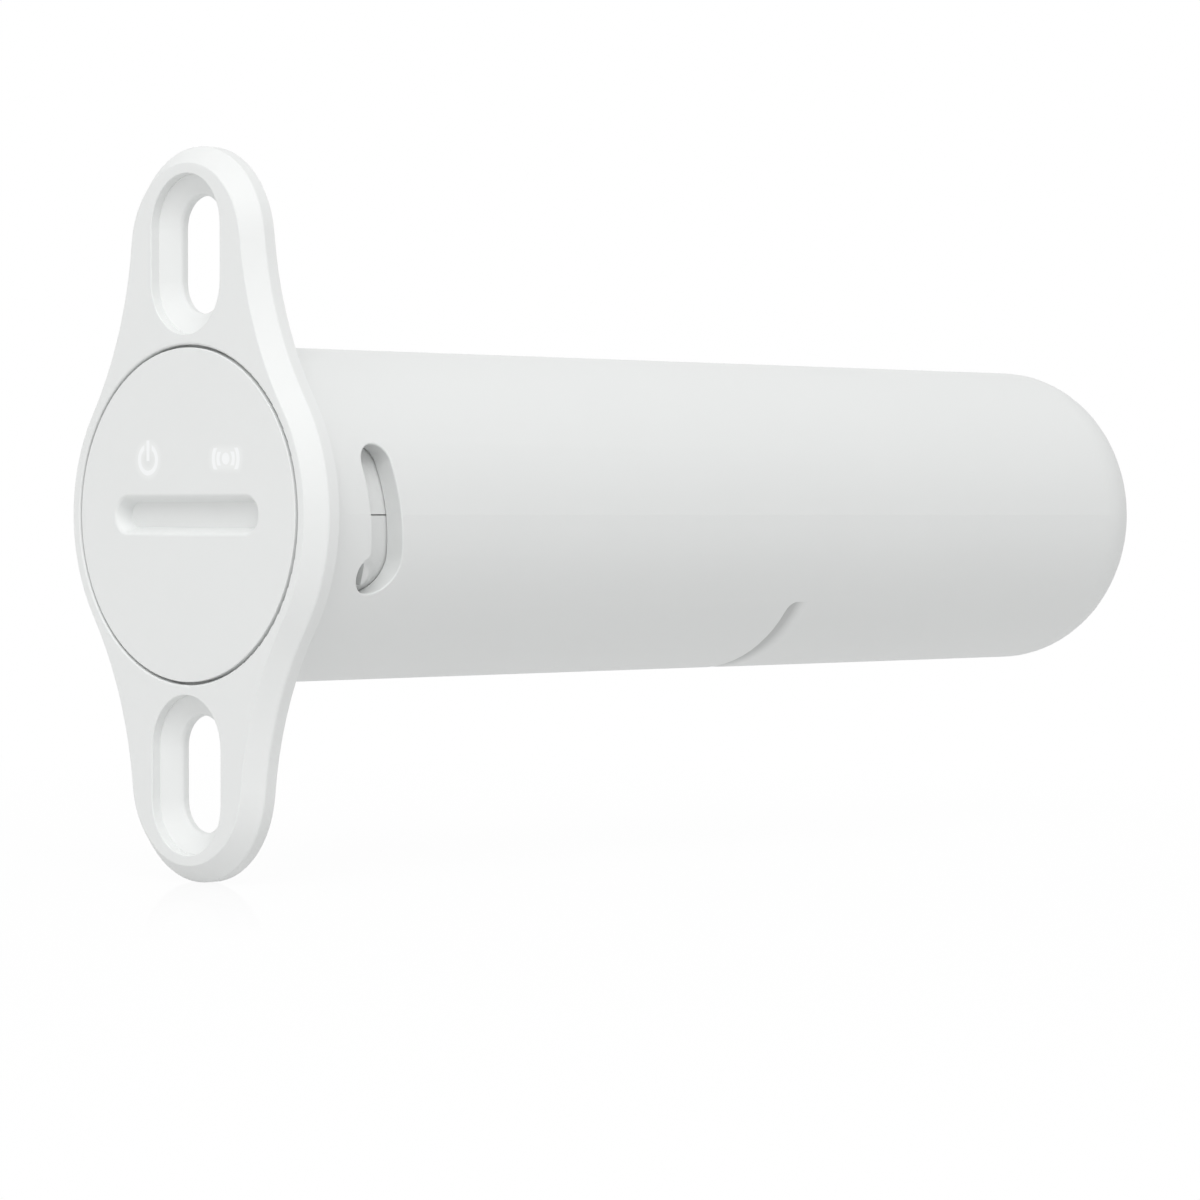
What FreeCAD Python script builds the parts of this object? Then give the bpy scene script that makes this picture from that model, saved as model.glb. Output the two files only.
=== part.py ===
import FreeCAD, Part
import math
import os
import sys
import Sketcher

# Recessed entry sensor: a mounting sleeve that stays in a drilled door frame, and a cartridge with
# the sensor and its cell, which a turn of the face disc frees from the sleeve.
# The tube runs along Y into the frame, the screw ears stand along Z, and the origin lies on the
# tube's axis in the plane of the plate's back. Depths count from the front of the plate.

# Driving dimensions in millimetres
SIZES = [
    ("tube_radius", 12.0),
    ("tube_depth", 95.1),
    ("tube_wall", 1.6),
    ("tube_end_wall", 1.6),
    ("tube_end_round", 6.4),
    ("plate_thick", 2.15),
    ("plate_centre_radius", 13.92),
    ("ear_radius", 7.19),
    ("ear_centre", 18.76),
    ("flare_radius", 24.9),
    ("plate_chamfer", 1.22),
    ("plate_face_round", 0.15),
    ("plate_edge_round", 0.2),
    ("corner_round", 0.8),
    ("slot_centre", 18.34),
    ("slot_width", 4.54),
    ("slot_reach", 8.34),
    ("slot_recess_side", 1.48),
    ("slot_recess_depth", 0.71),
    ("slot_cone_side", 1.42),
    ("slot_cone_depth", 0.9),
    ("slot_cone_round", 0.3),
    ("slot_mouth_round", 0.08),
    ("seat_radius", 11.98),
    ("seat_depth", 0.9),
    ("seat_round", 0.15),
    ("window_front", 6.8),
    ("window_lead", 0.109),
    ("window_top_rise", 3.56),
    ("window_top_radius", 1.37),
    ("window_step_drop", 2.95),
    ("window_hook_depth", 7.45),
    ("window_heel_depth", 7.55),
    ("window_heel_drop", 3.05),
    ("window_heel_radius", 2.45),
    ("window_round", 0.1),
    ("window_step_round", 0.45),
    ("groove_depth_front", 51.95),
    ("groove_width", 1.95),
    ("groove_cut", 1.1),
    ("groove_curve", 2.6),
    ("groove_end_round", 0.8),
    ("groove_sweep", 112.0),
    ("entry_sweep", 17.0),
    ("entry_clear", 0.2),
    ("turn_range", 40.0),
    ("overcut", 1.0),
    ("face_gap", 0.215),
    ("face_disc_thick", 0.75),
    ("face_round", 0.07),
    ("plug_length", 3.15),
    ("face_web", 2.4),
    ("tongue_radius", 8.65),
    ("tongue_wall", 0.75),
    ("tongue_length", 2.1),
    ("snap_height", 0.3),
    ("snap_width", 0.4),
    ("snap_from_plug", 1.1),
    ("seal_from_face", 2.6),
    ("seal_width", 1.2),
    ("seal_cut", 0.83),
    ("seal_wire", 0.42),
    ("coin_length", 15.6),
    ("coin_width", 2.6),
    ("coin_depth", 1.15),
    ("coin_draft", 20.0),
    ("coin_round", 0.3),
    ("icon_side", 4.28),
    ("icon_shift", 0.13),
    ("icon_rise", 3.92),
    ("icon_skin", 0.9),
    ("icon_stroke", 0.33),
    ("power_radius", 1.12),
    ("power_gap", 0.84),
    ("power_bar_low", 0.1),
    ("power_bar_high", 1.37),
    ("wave_dot_radius", 0.41),
    ("wave_inner_radius", 1.0),
    ("wave_inner_half", 0.48),
    ("wave_outer_radius", 1.5),
    ("wave_outer_half", 0.75),
    ("light_radius", 1.6),
    ("light_to_led", 0.3),
    ("fit_gap", 0.05),
    ("shell_gap", 0.12),
    ("shell_wall", 1.4),
    ("shell_round", 4.6),
    ("shell_depth", 92.2),
    ("shell_lap", 0.15),
    ("parting_gap", 0.08),
    ("cover_split", 48.5),
    ("lug_height", 0.95),
    ("lug_clear", 0.1),
    ("lug_top_drop", 3.4),
    ("lug_low_drop", 4.9),
    ("lug_rear_radius", 0.78),
    ("board_front", 6.4),
    ("board_length", 39.9),
    ("board_width", 15.8),
    ("board_thick", 1.0),
    ("board_top", 2.6),
    ("screw_side", 6.3),
    ("screw_front", 13.5),
    ("screw_rear", 42.3),
    ("screw_head_radius", 1.4),
    ("screw_head_height", 0.9),
    ("screw_radius", 0.8),
    ("screw_length", 7.6),
    ("screw_seat", 6.0),
    ("cross_width", 0.4),
    ("cross_depth", 0.5),
    ("boss_radius", 1.9),
    ("screw_clear", 0.15),
    ("led_width", 1.6),
    ("led_length", 0.9),
    ("led_height", 1.4),
    ("lens_radius", 0.47),
    ("controller_width", 5.0),
    ("controller_height", 0.9),
    ("controller_depth", 17.4),
    ("radio_chip_width", 3.5),
    ("radio_chip_height", 0.8),
    ("radio_depth", 35.0),
    ("shield_width", 8.0),
    ("shield_length", 9.0),
    ("shield_height", 1.8),
    ("shield_sheet", 0.2),
    ("antenna_width", 3.2),
    ("antenna_length", 1.6),
    ("antenna_height", 1.2),
    ("antenna_depth", 11.0),
    ("capacitor_width", 2.0),
    ("capacitor_length", 1.25),
    ("capacitor_height", 1.0),
    ("capacitor_depth", 21.8),
    ("capacitor_step", 2.6),
    ("reed_radius", 1.1),
    ("reed_round", 0.66),
    ("reed_length", 12.0),
    ("reed_front", 9.0),
    ("reed_wire_radius", 0.25),
    ("reed_wire_run", 1.2),
    ("reed_drop", 0.5),
    ("reset_depth", 26.5),
    ("reset_base_width", 4.2),
    ("reset_base_height", 1.9),
    ("reset_actuator_radius", 0.9),
    ("reset_actuator_stand", 0.7),
    ("reset_travel", 0.25),
    ("reset_button_radius", 1.6),
    ("reset_button_below", 0.25),
    ("reset_flange_radius", 2.3),
    ("reset_flange_top", 8.15),
    ("reset_flange_thick", 0.6),
    ("reset_stem_radius", 1.0),
    ("bulkhead_front", 46.9),
    ("bulkhead_thick", 1.4),
    ("bulkhead_radius", 8.55),
    ("cell_nose", 49.9),
    ("cell_radius", 8.35),
    ("cell_length", 34.5),
    ("cell_round", 0.5),
    ("cell_nub_height", 0.8),
    ("cell_nub_radius", 3.2),
    ("wrap_gap", 0.03),
    ("wrap_thick", 0.12),
    ("wrap_lip", 0.8),
    ("contact_sheet", 0.3),
    ("contact_width", 7.0),
    ("contact_height", 8.0),
    ("contact_dome_radius", 1.6),
    ("contact_tab_width", 3.0),
    ("contact_tab_reach", 2.6),
    ("strap_width", 2.4),
    ("strap_clear", 0.2),
    ("strap_plate_radius", 5.3),
    ("strap_slope", 4.3),
    ("strap_mitre", 0.124),
    ("strap_channel", 0.5),
    ("strap_board_reach", 1.6),
    ("spring_wire", 0.35),
    ("spring_base_radius", 4.4),
    ("spring_tip_radius", 2.6),
    ("spring_turns", 4.0),
    ("pad_radius", 5.0),
    ("pad_thick", 1.0),
    ("baffle_radius", 7.75),
    ("baffle_thick", 1.2),
]

doc = FreeCAD.newDocument("entry_sensor")
sheet = doc.addObject("Spreadsheet::Sheet", "sizes")
for row, (name, value) in enumerate(SIZES, start=1):
    sheet.set("A%d" % row, name)
    sheet.set("B%d" % row, str(value))
    sheet.setAlias("B%d" % row, name)
doc.recompute()


class Size:
    """A number together with the sheet expression that gives it."""

    def __init__(self, number, text):
        self.number = number
        self.text = text

    def __add__(self, other):
        other = as_size(other)
        return Size(self.number + other.number, "(%s + %s)" % (self.text, other.text))

    def __sub__(self, other):
        other = as_size(other)
        return Size(self.number - other.number, "(%s - %s)" % (self.text, other.text))

    def __mul__(self, other):
        other = as_size(other)
        return Size(self.number * other.number, "(%s * %s)" % (self.text, other.text))

    def __truediv__(self, other):
        other = as_size(other)
        return Size(self.number / other.number, "(%s / %s)" % (self.text, other.text))

    def __neg__(self):
        return Size(-self.number, "(0 - %s)" % self.text)


def as_size(value):
    if isinstance(value, Size):
        return value
    return Size(float(value), "(%r)" % float(value))


def root(value):
    return Size(math.sqrt(value.number), "sqrt(%s)" % value.text)


def cell(name):
    return Size(float(dict(SIZES)[name]), "<<sizes>>.%s" % name)


class Cells:
    """The sheet's cells by name."""

    def __getattr__(self, name):
        return cell(name)


S = Cells()


def depth(value):
    """The Y place of a depth that counts from the front of the plate."""
    return as_size(value) - S.plate_thick


# Sizes that follow from the driving ones
bore_radius = S.tube_radius - S.tube_wall
bore_end = S.tube_depth - S.tube_end_wall
shell_radius = bore_radius - S.shell_gap
shell_inner = shell_radius - S.shell_wall
shell_end_inner = S.shell_depth - S.shell_wall
lug_radius = shell_radius + S.lug_height
plug_end = S.face_disc_thick + S.plug_length
tongue_end = plug_end + S.tongue_length
board_bottom = S.board_top - S.board_thick
face_radius = S.seat_radius - S.face_gap
cell_end = S.cell_nose + S.cell_length
bulkhead_rear = S.bulkhead_front + S.bulkhead_thick


# Helpers for plain solids bound to the sheet
def bind(thing, **expressions):
    for name, size in expressions.items():
        thing.setExpression(name.replace("__", "."), as_size(size).text)


AXES = {
    "x": FreeCAD.Rotation(FreeCAD.Vector(0, 1, 0), 90),
    "y": FreeCAD.Rotation(FreeCAD.Vector(1, 0, 0), -90),
    "z": FreeCAD.Rotation(),
}


def place(thing, at, axis="z"):
    thing.Placement = FreeCAD.Placement(FreeCAD.Vector(*[as_size(v).number for v in at]), AXES[axis])
    bind(thing, Placement__Base__x=at[0], Placement__Base__y=at[1], Placement__Base__z=at[2])


def cylinder(name, radius, length, at, axis="y"):
    """A cylinder whose foot is centred at a point and which runs along the positive axis."""
    thing = doc.addObject("Part::Cylinder", name)
    bind(thing, Radius=radius, Height=length)
    place(thing, at, axis)
    return thing


def block(name, low, high):
    """A box between two corners."""
    thing = doc.addObject("Part::Box", name)
    bind(thing, Length=as_size(high[0]) - low[0], Width=as_size(high[1]) - low[1],
         Height=as_size(high[2]) - low[2])
    place(thing, low)
    return thing


def centred_block(name, middle, width, length, low, high):
    """A box on a board: its middle in plan, its width along X, length along Y, and its height."""
    x, y = middle
    half_width = as_size(width) / 2
    half_length = as_size(length) / 2
    return block(name, (as_size(x) - half_width, as_size(y) - half_length, low),
                 (as_size(x) + half_width, as_size(y) + half_length, high))


def fuse(name, *things):
    thing = doc.addObject("Part::MultiFuse", name)
    thing.Shapes = list(things)
    return thing


def common(name, base, tool):
    thing = doc.addObject("Part::Common", name)
    thing.Base = base
    thing.Tool = tool
    return thing


def cut(name, base, *tools):
    thing = doc.addObject("Part::Cut", name)
    thing.Base = base
    thing.Tool = tools[0] if len(tools) == 1 else fuse(name + "_tools", *tools)
    return thing


def rounded(name, base, radius, test):
    """Round the edges of a solid that a test picks, by their shape."""
    doc.recompute()
    thing = doc.addObject("Part::Fillet", name)
    thing.Base = base
    size = as_size(radius).number
    thing.Edges = [(i, size, size) for i, edge in enumerate(base.Shape.Edges, start=1) if test(edge)]
    return thing


# Helpers for bodies made from sketches
def new_body(name):
    body = doc.addObject("PartDesign::Body", name)
    body.Label = name
    return body


def new_sketch(body, name, role, offset=None):
    sketch = body.newObject("Sketcher::SketchObject", name)
    planes = [feature for feature in body.Origin.OriginFeatures if feature.Role == role]
    sketch.AttachmentSupport = [(planes[0], "")]
    sketch.MapMode = "FlatFace"
    if offset is not None:
        bind(sketch, AttachmentOffset__Base__z=offset)
    return sketch


def dimension(sketch, kind, geometry, point, size):
    size = as_size(size)
    if kind == "Radius":
        constraint = Sketcher.Constraint(kind, geometry, size.number)
    else:
        constraint = Sketcher.Constraint(kind, -1, 1, geometry, point, size.number)
    number = sketch.addConstraint(constraint)
    sketch.setExpression("Constraints[%d]" % number, size.text)


def at_point(sketch, geometry, point, place_x, place_y):
    dimension(sketch, "DistanceX", geometry, point, place_x)
    dimension(sketch, "DistanceY", geometry, point, place_y)


def vector(x, y):
    return FreeCAD.Vector(as_size(x).number, as_size(y).number, 0)


def polygon(sketch, corners):
    """Straight edges round a list of corners, each measured from the sketch's origin."""
    first = sketch.GeometryCount
    count = len(corners)
    for i in range(count):
        sketch.addGeometry(Part.LineSegment(vector(*corners[i]), vector(*corners[(i + 1) % count])), False)
    for i in range(count):
        sketch.addConstraint(Sketcher.Constraint("Coincident", first + i, 2, first + (i + 1) % count, 1))
    for i in range(count):
        at_point(sketch, first + i, 1, *corners[i])


def circle(sketch, x, y, radius):
    round_edge = Part.Circle(vector(x, y), FreeCAD.Vector(0, 0, 1), as_size(radius).number)
    number = sketch.addGeometry(round_edge, False)
    at_point(sketch, number, 3, x, y)
    dimension(sketch, "Radius", number, 0, radius)


def arc(sketch, x, y, radius, start, end):
    """An arc from one angle to another, anticlockwise, with its centre and radius dimensioned."""
    round_edge = Part.Circle(vector(x, y), FreeCAD.Vector(0, 0, 1), as_size(radius).number)
    return sketch.addGeometry(Part.ArcOfCircle(round_edge, math.radians(start), math.radians(end)), False)


def line(sketch, start, end):
    return sketch.addGeometry(Part.LineSegment(start, end), False)


def tangent(sketch, one, one_end, other, other_end):
    sketch.addConstraint(Sketcher.Constraint("Tangent", one, one_end, other, other_end))


def slot(sketch, x, y, half_run, radius, upright):
    """A slot with round ends: two arcs and two lines, upright or level."""
    radius = as_size(radius)
    turn = 0 if upright else -90
    ends = []
    for sign, start in ((1, turn), (-1, turn + 180)):
        reach = as_size(half_run) * sign
        middle = (x, as_size(y) + reach) if upright else (as_size(x) + reach, y)
        number = arc(sketch, middle[0], middle[1], radius, start, start + 180)
        ends.append(number)
        at_point(sketch, number, 3, *middle)
        dimension(sketch, "Radius", number, 0, radius)
    geometry = sketch.Geometry
    for one, other in ((0, 1), (1, 0)):
        first = geometry[ends[one]].EndPoint
        second = geometry[ends[other]].StartPoint
        number = line(sketch, first, second)
        tangent(sketch, ends[one], 2, number, 1)
        tangent(sketch, number, 2, ends[other], 1)


def blind_profile(sketch, radius, start, end, corner):
    """Half of a round-bottomed hole or plug: its radius, its two ends and the corner's radius."""
    start = as_size(start)
    end = as_size(end)
    bend = end - corner
    inside = as_size(radius) - corner
    mouth = line(sketch, vector(0, start), vector(radius, start))
    side = line(sketch, vector(radius, start), vector(radius, bend))
    turn = arc(sketch, inside, bend, corner, 0, 90)
    floor = line(sketch, vector(inside, end), vector(0, end))
    middle = line(sketch, vector(0, end), vector(0, start))
    for one, one_end, other, other_end in ((mouth, 2, side, 1), (floor, 2, middle, 1), (middle, 2, mouth, 1)):
        sketch.addConstraint(Sketcher.Constraint("Coincident", one, one_end, other, other_end))
    tangent(sketch, side, 2, turn, 1)
    tangent(sketch, turn, 2, floor, 1)
    at_point(sketch, mouth, 1, 0, start)
    at_point(sketch, mouth, 2, radius, start)
    at_point(sketch, floor, 2, 0, end)
    at_point(sketch, turn, 3, inside, bend)
    dimension(sketch, "Radius", turn, 0, corner)


def pad(body, sketch, name, length, reverse=False):
    feature = body.newObject("PartDesign::Pad", name)
    feature.Profile = sketch
    feature.Reversed = reverse
    bind(feature, Length=length)
    doc.recompute()
    return feature


def pocket(body, sketch, name, length, reverse=False, draft=None):
    before = body.Shape.Volume
    feature = body.newObject("PartDesign::Pocket", name)
    feature.Profile = sketch
    feature.Reversed = reverse
    bind(feature, Length=length)
    if draft is not None:
        bind(feature, TaperAngle=draft)
    doc.recompute()
    if not feature.Shape.Volume < before:
        sys.exit("%s cuts nothing" % name)
    return feature


def turned(body, sketch, kind, name, angle=360, midplane=False, axis="V_Axis"):
    before = body.Shape.Volume if kind == "Groove" else 0
    feature = body.newObject("PartDesign::%s" % kind, name)
    feature.Profile = sketch
    feature.ReferenceAxis = (sketch, [axis])
    feature.Midplane = midplane
    bind(feature, Angle=angle)
    doc.recompute()
    if kind == "Groove" and not feature.Shape.Volume < before:
        sys.exit("%s cuts nothing" % name)
    return feature


def dress(body, kind, name, base, size, test):
    """Round or chamfer the edges of a feature that a test picks, by their shape."""
    names = ["Edge%d" % i for i, edge in enumerate(base.Shape.Edges, start=1) if test(edge)]
    if not names:
        sys.exit("%s finds no edge" % name)
    feature = body.newObject("PartDesign::%s" % kind, name)
    feature.Base = (base, names)
    bind(feature, **{"Radius" if kind == "Fillet" else "Size": size})
    doc.recompute()
    return feature


def middle_of(edge):
    return edge.valueAt((edge.FirstParameter + edge.LastParameter) / 2)


def flat_at(edge, y):
    """Whether an edge lies in the plane at a depth."""
    low = edge.BoundBox.YMin
    high = edge.BoundBox.YMax
    return abs(low - y.number) < 0.002 and abs(high - y.number) < 0.002


def from_axis(point):
    return math.hypot(point.x, point.z)


# Outline of the plate: middle, two ears and the hollow flares between them
def plate_outline(sketch):
    middle = S.plate_centre_radius.number
    ear = S.ear_radius.number
    flare = S.flare_radius.number
    rise = S.ear_centre.number
    flare_up = ((middle + flare) ** 2 - (ear + flare) ** 2 + rise ** 2) / (2 * rise)
    flare_out = math.sqrt((middle + flare) ** 2 - flare_up ** 2)
    middle_turn = math.degrees(math.atan2(flare_up, flare_out))
    ear_turn = math.degrees(math.atan2(flare_up - rise, flare_out))
    right = arc(sketch, 0, 0, middle, -middle_turn, middle_turn)
    upper_right = arc(sketch, flare_out, flare_up, flare, 180 + ear_turn, 180 + middle_turn)
    top = arc(sketch, 0, rise, ear, ear_turn, 180 - ear_turn)
    upper_left = arc(sketch, -flare_out, flare_up, flare, -middle_turn, -ear_turn)
    left = arc(sketch, 0, 0, middle, 180 - middle_turn, 180 + middle_turn)
    lower_left = arc(sketch, -flare_out, -flare_up, flare, ear_turn, middle_turn)
    foot = arc(sketch, 0, -rise, ear, 180 + ear_turn, 360 - ear_turn)
    lower_right = arc(sketch, flare_out, -flare_up, flare, 180 - middle_turn, 180 - ear_turn)
    tangent(sketch, right, 2, upper_right, 2)
    tangent(sketch, upper_right, 1, top, 1)
    tangent(sketch, top, 2, upper_left, 2)
    tangent(sketch, upper_left, 1, left, 1)
    tangent(sketch, left, 2, lower_left, 2)
    tangent(sketch, lower_left, 1, foot, 1)
    tangent(sketch, foot, 2, lower_right, 2)
    tangent(sketch, lower_right, 1, right, 1)
    for number in (right, left):
        at_point(sketch, number, 3, 0, 0)
        dimension(sketch, "Radius", number, 0, S.plate_centre_radius)
    for number, place_z in ((top, S.ear_centre), (foot, -S.ear_centre)):
        at_point(sketch, number, 3, 0, place_z)
        dimension(sketch, "Radius", number, 0, S.ear_radius)
    for number in (upper_right, upper_left, lower_left, lower_right):
        dimension(sketch, "Radius", number, 0, S.flare_radius)


# Side window: a slot that leans with the turn of the lug, and a hook at its lower end
def window_outline(sketch):
    step_depth = S.window_front + S.window_lead * S.window_step_drop
    step = vector(depth(step_depth), -S.window_step_drop)
    lean = math.degrees(math.atan(S.window_lead.number))
    top_back = S.window_top_radius * root(S.window_lead * S.window_lead + 1)
    top_depth = S.window_front - S.window_lead * S.window_top_rise + top_back
    top = arc(sketch, depth(top_depth), S.window_top_rise, S.window_top_radius, lean, 180 + lean)
    hook_drop = S.window_heel_drop.number + (S.window_heel_radius.number + S.window_step_drop.number
                                             - S.window_heel_drop.number) / 2
    hook_back = S.window_hook_depth.number - step_depth.number
    hook_down = hook_drop - S.window_step_drop.number
    hook_start = math.degrees(math.atan2(hook_down, -hook_back))
    hook = arc(sketch, depth(S.window_hook_depth), -hook_drop, math.hypot(hook_back, hook_down), hook_start, 265)
    heel = arc(sketch, depth(S.window_heel_depth), -S.window_heel_drop, S.window_heel_radius, 265, 360 + lean)
    edges = sketch.Geometry
    front = line(sketch, edges[top].EndPoint, step)
    rear = line(sketch, edges[heel].EndPoint, edges[top].StartPoint)
    tangent(sketch, top, 2, front, 1)
    sketch.addConstraint(Sketcher.Constraint("Coincident", front, 2, hook, 1))
    tangent(sketch, hook, 2, heel, 1)
    tangent(sketch, heel, 2, rear, 1)
    tangent(sketch, rear, 2, top, 1)
    at_point(sketch, top, 3, depth(top_depth), S.window_top_rise)
    dimension(sketch, "Radius", top, 0, S.window_top_radius)
    at_point(sketch, front, 2, depth(step_depth), -S.window_step_drop)
    dimension(sketch, "DistanceX", hook, 3, depth(S.window_hook_depth))
    at_point(sketch, heel, 3, depth(S.window_heel_depth), -S.window_heel_drop)
    dimension(sketch, "Radius", heel, 0, S.window_heel_radius)


# Section of the groove under the tube: a steep front wall, and a curved floor that fades out behind
def under_outline(sketch):
    front = depth(S.groove_depth_front)
    rear = front + S.groove_width
    deep = S.tube_radius - S.groove_cut
    past = S.tube_radius + S.overcut
    chord = math.hypot(S.groove_width.number, S.groove_cut.number)
    lean = math.atan2(S.groove_cut.number, S.groove_width.number)
    stand = math.sqrt(S.groove_curve.number ** 2 - (chord / 2) ** 2)
    middle_y = (front.number + rear.number) / 2 + stand * math.sin(lean)
    middle_z = -(deep.number + S.tube_radius.number) / 2 + stand * math.cos(lean)
    start = math.degrees(math.atan2(-deep.number - middle_z, front.number - middle_y)) % 360
    end = math.degrees(math.atan2(-S.tube_radius.number - middle_z, rear.number - middle_y)) % 360
    floor = arc(sketch, middle_y, middle_z, S.groove_curve, start, end)
    rear_wall = line(sketch, vector(rear, -S.tube_radius), vector(rear, -past))
    mouth = line(sketch, vector(rear, -past), vector(front, -past))
    front_wall = line(sketch, vector(front, -past), vector(front, -deep))
    for one, one_end, other, other_end in ((floor, 2, rear_wall, 1), (rear_wall, 2, mouth, 1),
                                           (mouth, 2, front_wall, 1), (front_wall, 2, floor, 1)):
        sketch.addConstraint(Sketcher.Constraint("Coincident", one, one_end, other, other_end))
    dimension(sketch, "Radius", floor, 0, S.groove_curve)
    at_point(sketch, front_wall, 2, front, -deep)
    at_point(sketch, rear_wall, 1, rear, -S.tube_radius)
    at_point(sketch, mouth, 1, rear, -past)
    at_point(sketch, mouth, 2, front, -past)


# Mounting sleeve
def mounting_sleeve():
    body = new_body("mounting_sleeve")
    outline = new_sketch(body, "plate_sketch", "XZ_Plane", S.plate_thick)
    plate_outline(outline)
    plate = pad(body, outline, "plate", S.plate_thick, reverse=True)
    front = depth(0)
    edge = dress(body, "Chamfer", "plate_slope", plate, S.plate_chamfer, lambda e: flat_at(e, front))
    slope_end = depth(S.plate_chamfer)
    soft = dress(body, "Fillet", "plate_face_soft", edge, S.plate_face_round, lambda e: flat_at(e, front))
    dress(body, "Fillet", "plate_edge_soft", soft, S.plate_edge_round, lambda e: flat_at(e, slope_end))

    tube = new_sketch(body, "tube_sketch", "XY_Plane")
    polygon(tube, [(0, depth(S.seat_depth)), (S.tube_radius, depth(S.seat_depth)),
                   (S.tube_radius, depth(S.tube_depth)), (0, depth(S.tube_depth))])
    solid_tube = turned(body, tube, "Revolution", "tube")
    tip = depth(S.tube_depth)
    rounded_tube = dress(body, "Fillet", "tube_tip_round", solid_tube, S.tube_end_round,
                         lambda e: flat_at(e, tip) and e.BoundBox.XLength > 1)
    back = depth(S.plate_thick)
    dress(body, "Fillet", "tube_root_round", rounded_tube, S.corner_round,
          lambda e: flat_at(e, back) and abs(from_axis(middle_of(e)) - S.tube_radius.number) < 0.01)

    bore = new_sketch(body, "bore_sketch", "XY_Plane")
    blind_profile(bore, bore_radius, depth(0), depth(bore_end), S.tube_end_round - S.tube_end_wall)
    turned(body, bore, "Groove", "bore")
    seat = new_sketch(body, "seat_sketch", "XZ_Plane", S.plate_thick)
    circle(seat, 0, 0, S.seat_radius)
    recess = pocket(body, seat, "seat", S.seat_depth)
    dress(body, "Fillet", "seat_soft", recess, S.seat_round,
          lambda e: flat_at(e, front) and abs(from_axis(middle_of(e)) - S.seat_radius.number) < 0.01)

    half_run = (S.slot_reach - S.slot_width) / 2
    for side, sign in (("upper", 1), ("lower", -1)):
        centre = S.slot_centre * sign
        mouth = new_sketch(body, side + "_mouth_sketch", "XZ_Plane", S.plate_thick)
        slot(mouth, 0, centre, half_run, S.slot_width / 2 + S.slot_recess_side, True)
        pocket(body, mouth, side + "_mouth", S.slot_recess_depth)
        through = new_sketch(body, side + "_through_sketch", "XZ_Plane", S.plate_thick)
        slot(through, 0, centre, half_run, S.slot_width / 2, True)
        opened = pocket(body, through, side + "_through", S.plate_thick)
        floor = depth(S.slot_recess_depth)
        inside = S.slot_width.number / 2 + 0.01
        run = half_run.number

        def on_slot(e, centre=centre.number, limit=inside, run=run):
            point = middle_of(e)
            rise = abs(point.z - centre)
            beyond = max(rise - run, 0)
            return math.hypot(point.x, beyond) < limit

        cone = dress(body, "Chamfer", side + "_cone", opened, S.slot_cone_side,
                     lambda e: flat_at(e, floor) and on_slot(e))
        cone.ChamferType = "Two distances"
        bind(cone, Size2=S.slot_cone_depth)
        doc.recompute()
        waist = depth(S.slot_recess_depth + S.slot_cone_depth)
        eased_cone = dress(body, "Fillet", side + "_waist", cone, S.slot_cone_round,
                           lambda e: flat_at(e, waist) and on_slot(e))
        lip = inside + S.slot_recess_side.number
        dress(body, "Fillet", side + "_lip", eased_cone, S.slot_mouth_round,
              lambda e: flat_at(e, front) and on_slot(e, limit=lip))

    window = new_sketch(body, "window_sketch", "YZ_Plane")
    window_outline(window)
    opening = pocket(body, window, "window", S.tube_radius + S.overcut, reverse=True)
    pair = body.newObject("PartDesign::PolarPattern", "window_pair")
    pair.Originals = [opening]
    axes = [feature for feature in body.Origin.OriginFeatures if feature.Role == "Y_Axis"]
    pair.Axis = (axes[0], [""])
    pair.Occurrences = 2
    body.Tip = pair
    doc.recompute()
    if not pair.Shape.Volume < opening.Shape.Volume:
        sys.exit("the second window cuts nothing")
    step_depth = depth(S.window_front + S.window_lead * S.window_step_drop).number
    step_drop = S.window_step_drop.number
    window_low = depth(S.window_hook_depth - S.window_heel_radius).number
    window_high = depth(S.window_heel_depth + S.window_heel_radius * 1.5).number
    side_of = bore_radius.number * 0.7

    def on_step(e):
        point = middle_of(e)
        drop = -point.z if point.x > 0 else point.z
        return abs(point.y - step_depth) < 0.05 and abs(drop - step_drop) < 0.05 and e.BoundBox.XLength > 0.5

    def on_rim(e):
        point = middle_of(e)
        outside = abs(from_axis(point) - S.tube_radius.number) < 0.01
        return (outside and abs(point.x) > side_of and window_low < e.BoundBox.YMin
                and e.BoundBox.YMax < window_high)

    eased = dress(body, "Fillet", "window_step_soft", pair, S.window_step_round, on_step)
    dress(body, "Fillet", "window_rim", eased, S.window_round, on_rim)

    under = new_sketch(body, "groove_sketch", "YZ_Plane")
    under_outline(under)
    scoop = turned(body, under, "Groove", "under_groove", S.groove_sweep, True, "H_Axis")
    scoop_front = depth(S.groove_depth_front)
    half_cut = S.groove_cut.number / 2

    def on_scoop_end(e):
        if not flat_at(e, scoop_front) or len(e.Vertexes) < 2:
            return False
        return abs(from_axis(e.Vertexes[0].Point) - from_axis(e.Vertexes[1].Point)) > half_cut

    dress(body, "Fillet", "under_ends", scoop, S.groove_end_round, on_scoop_end)

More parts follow.
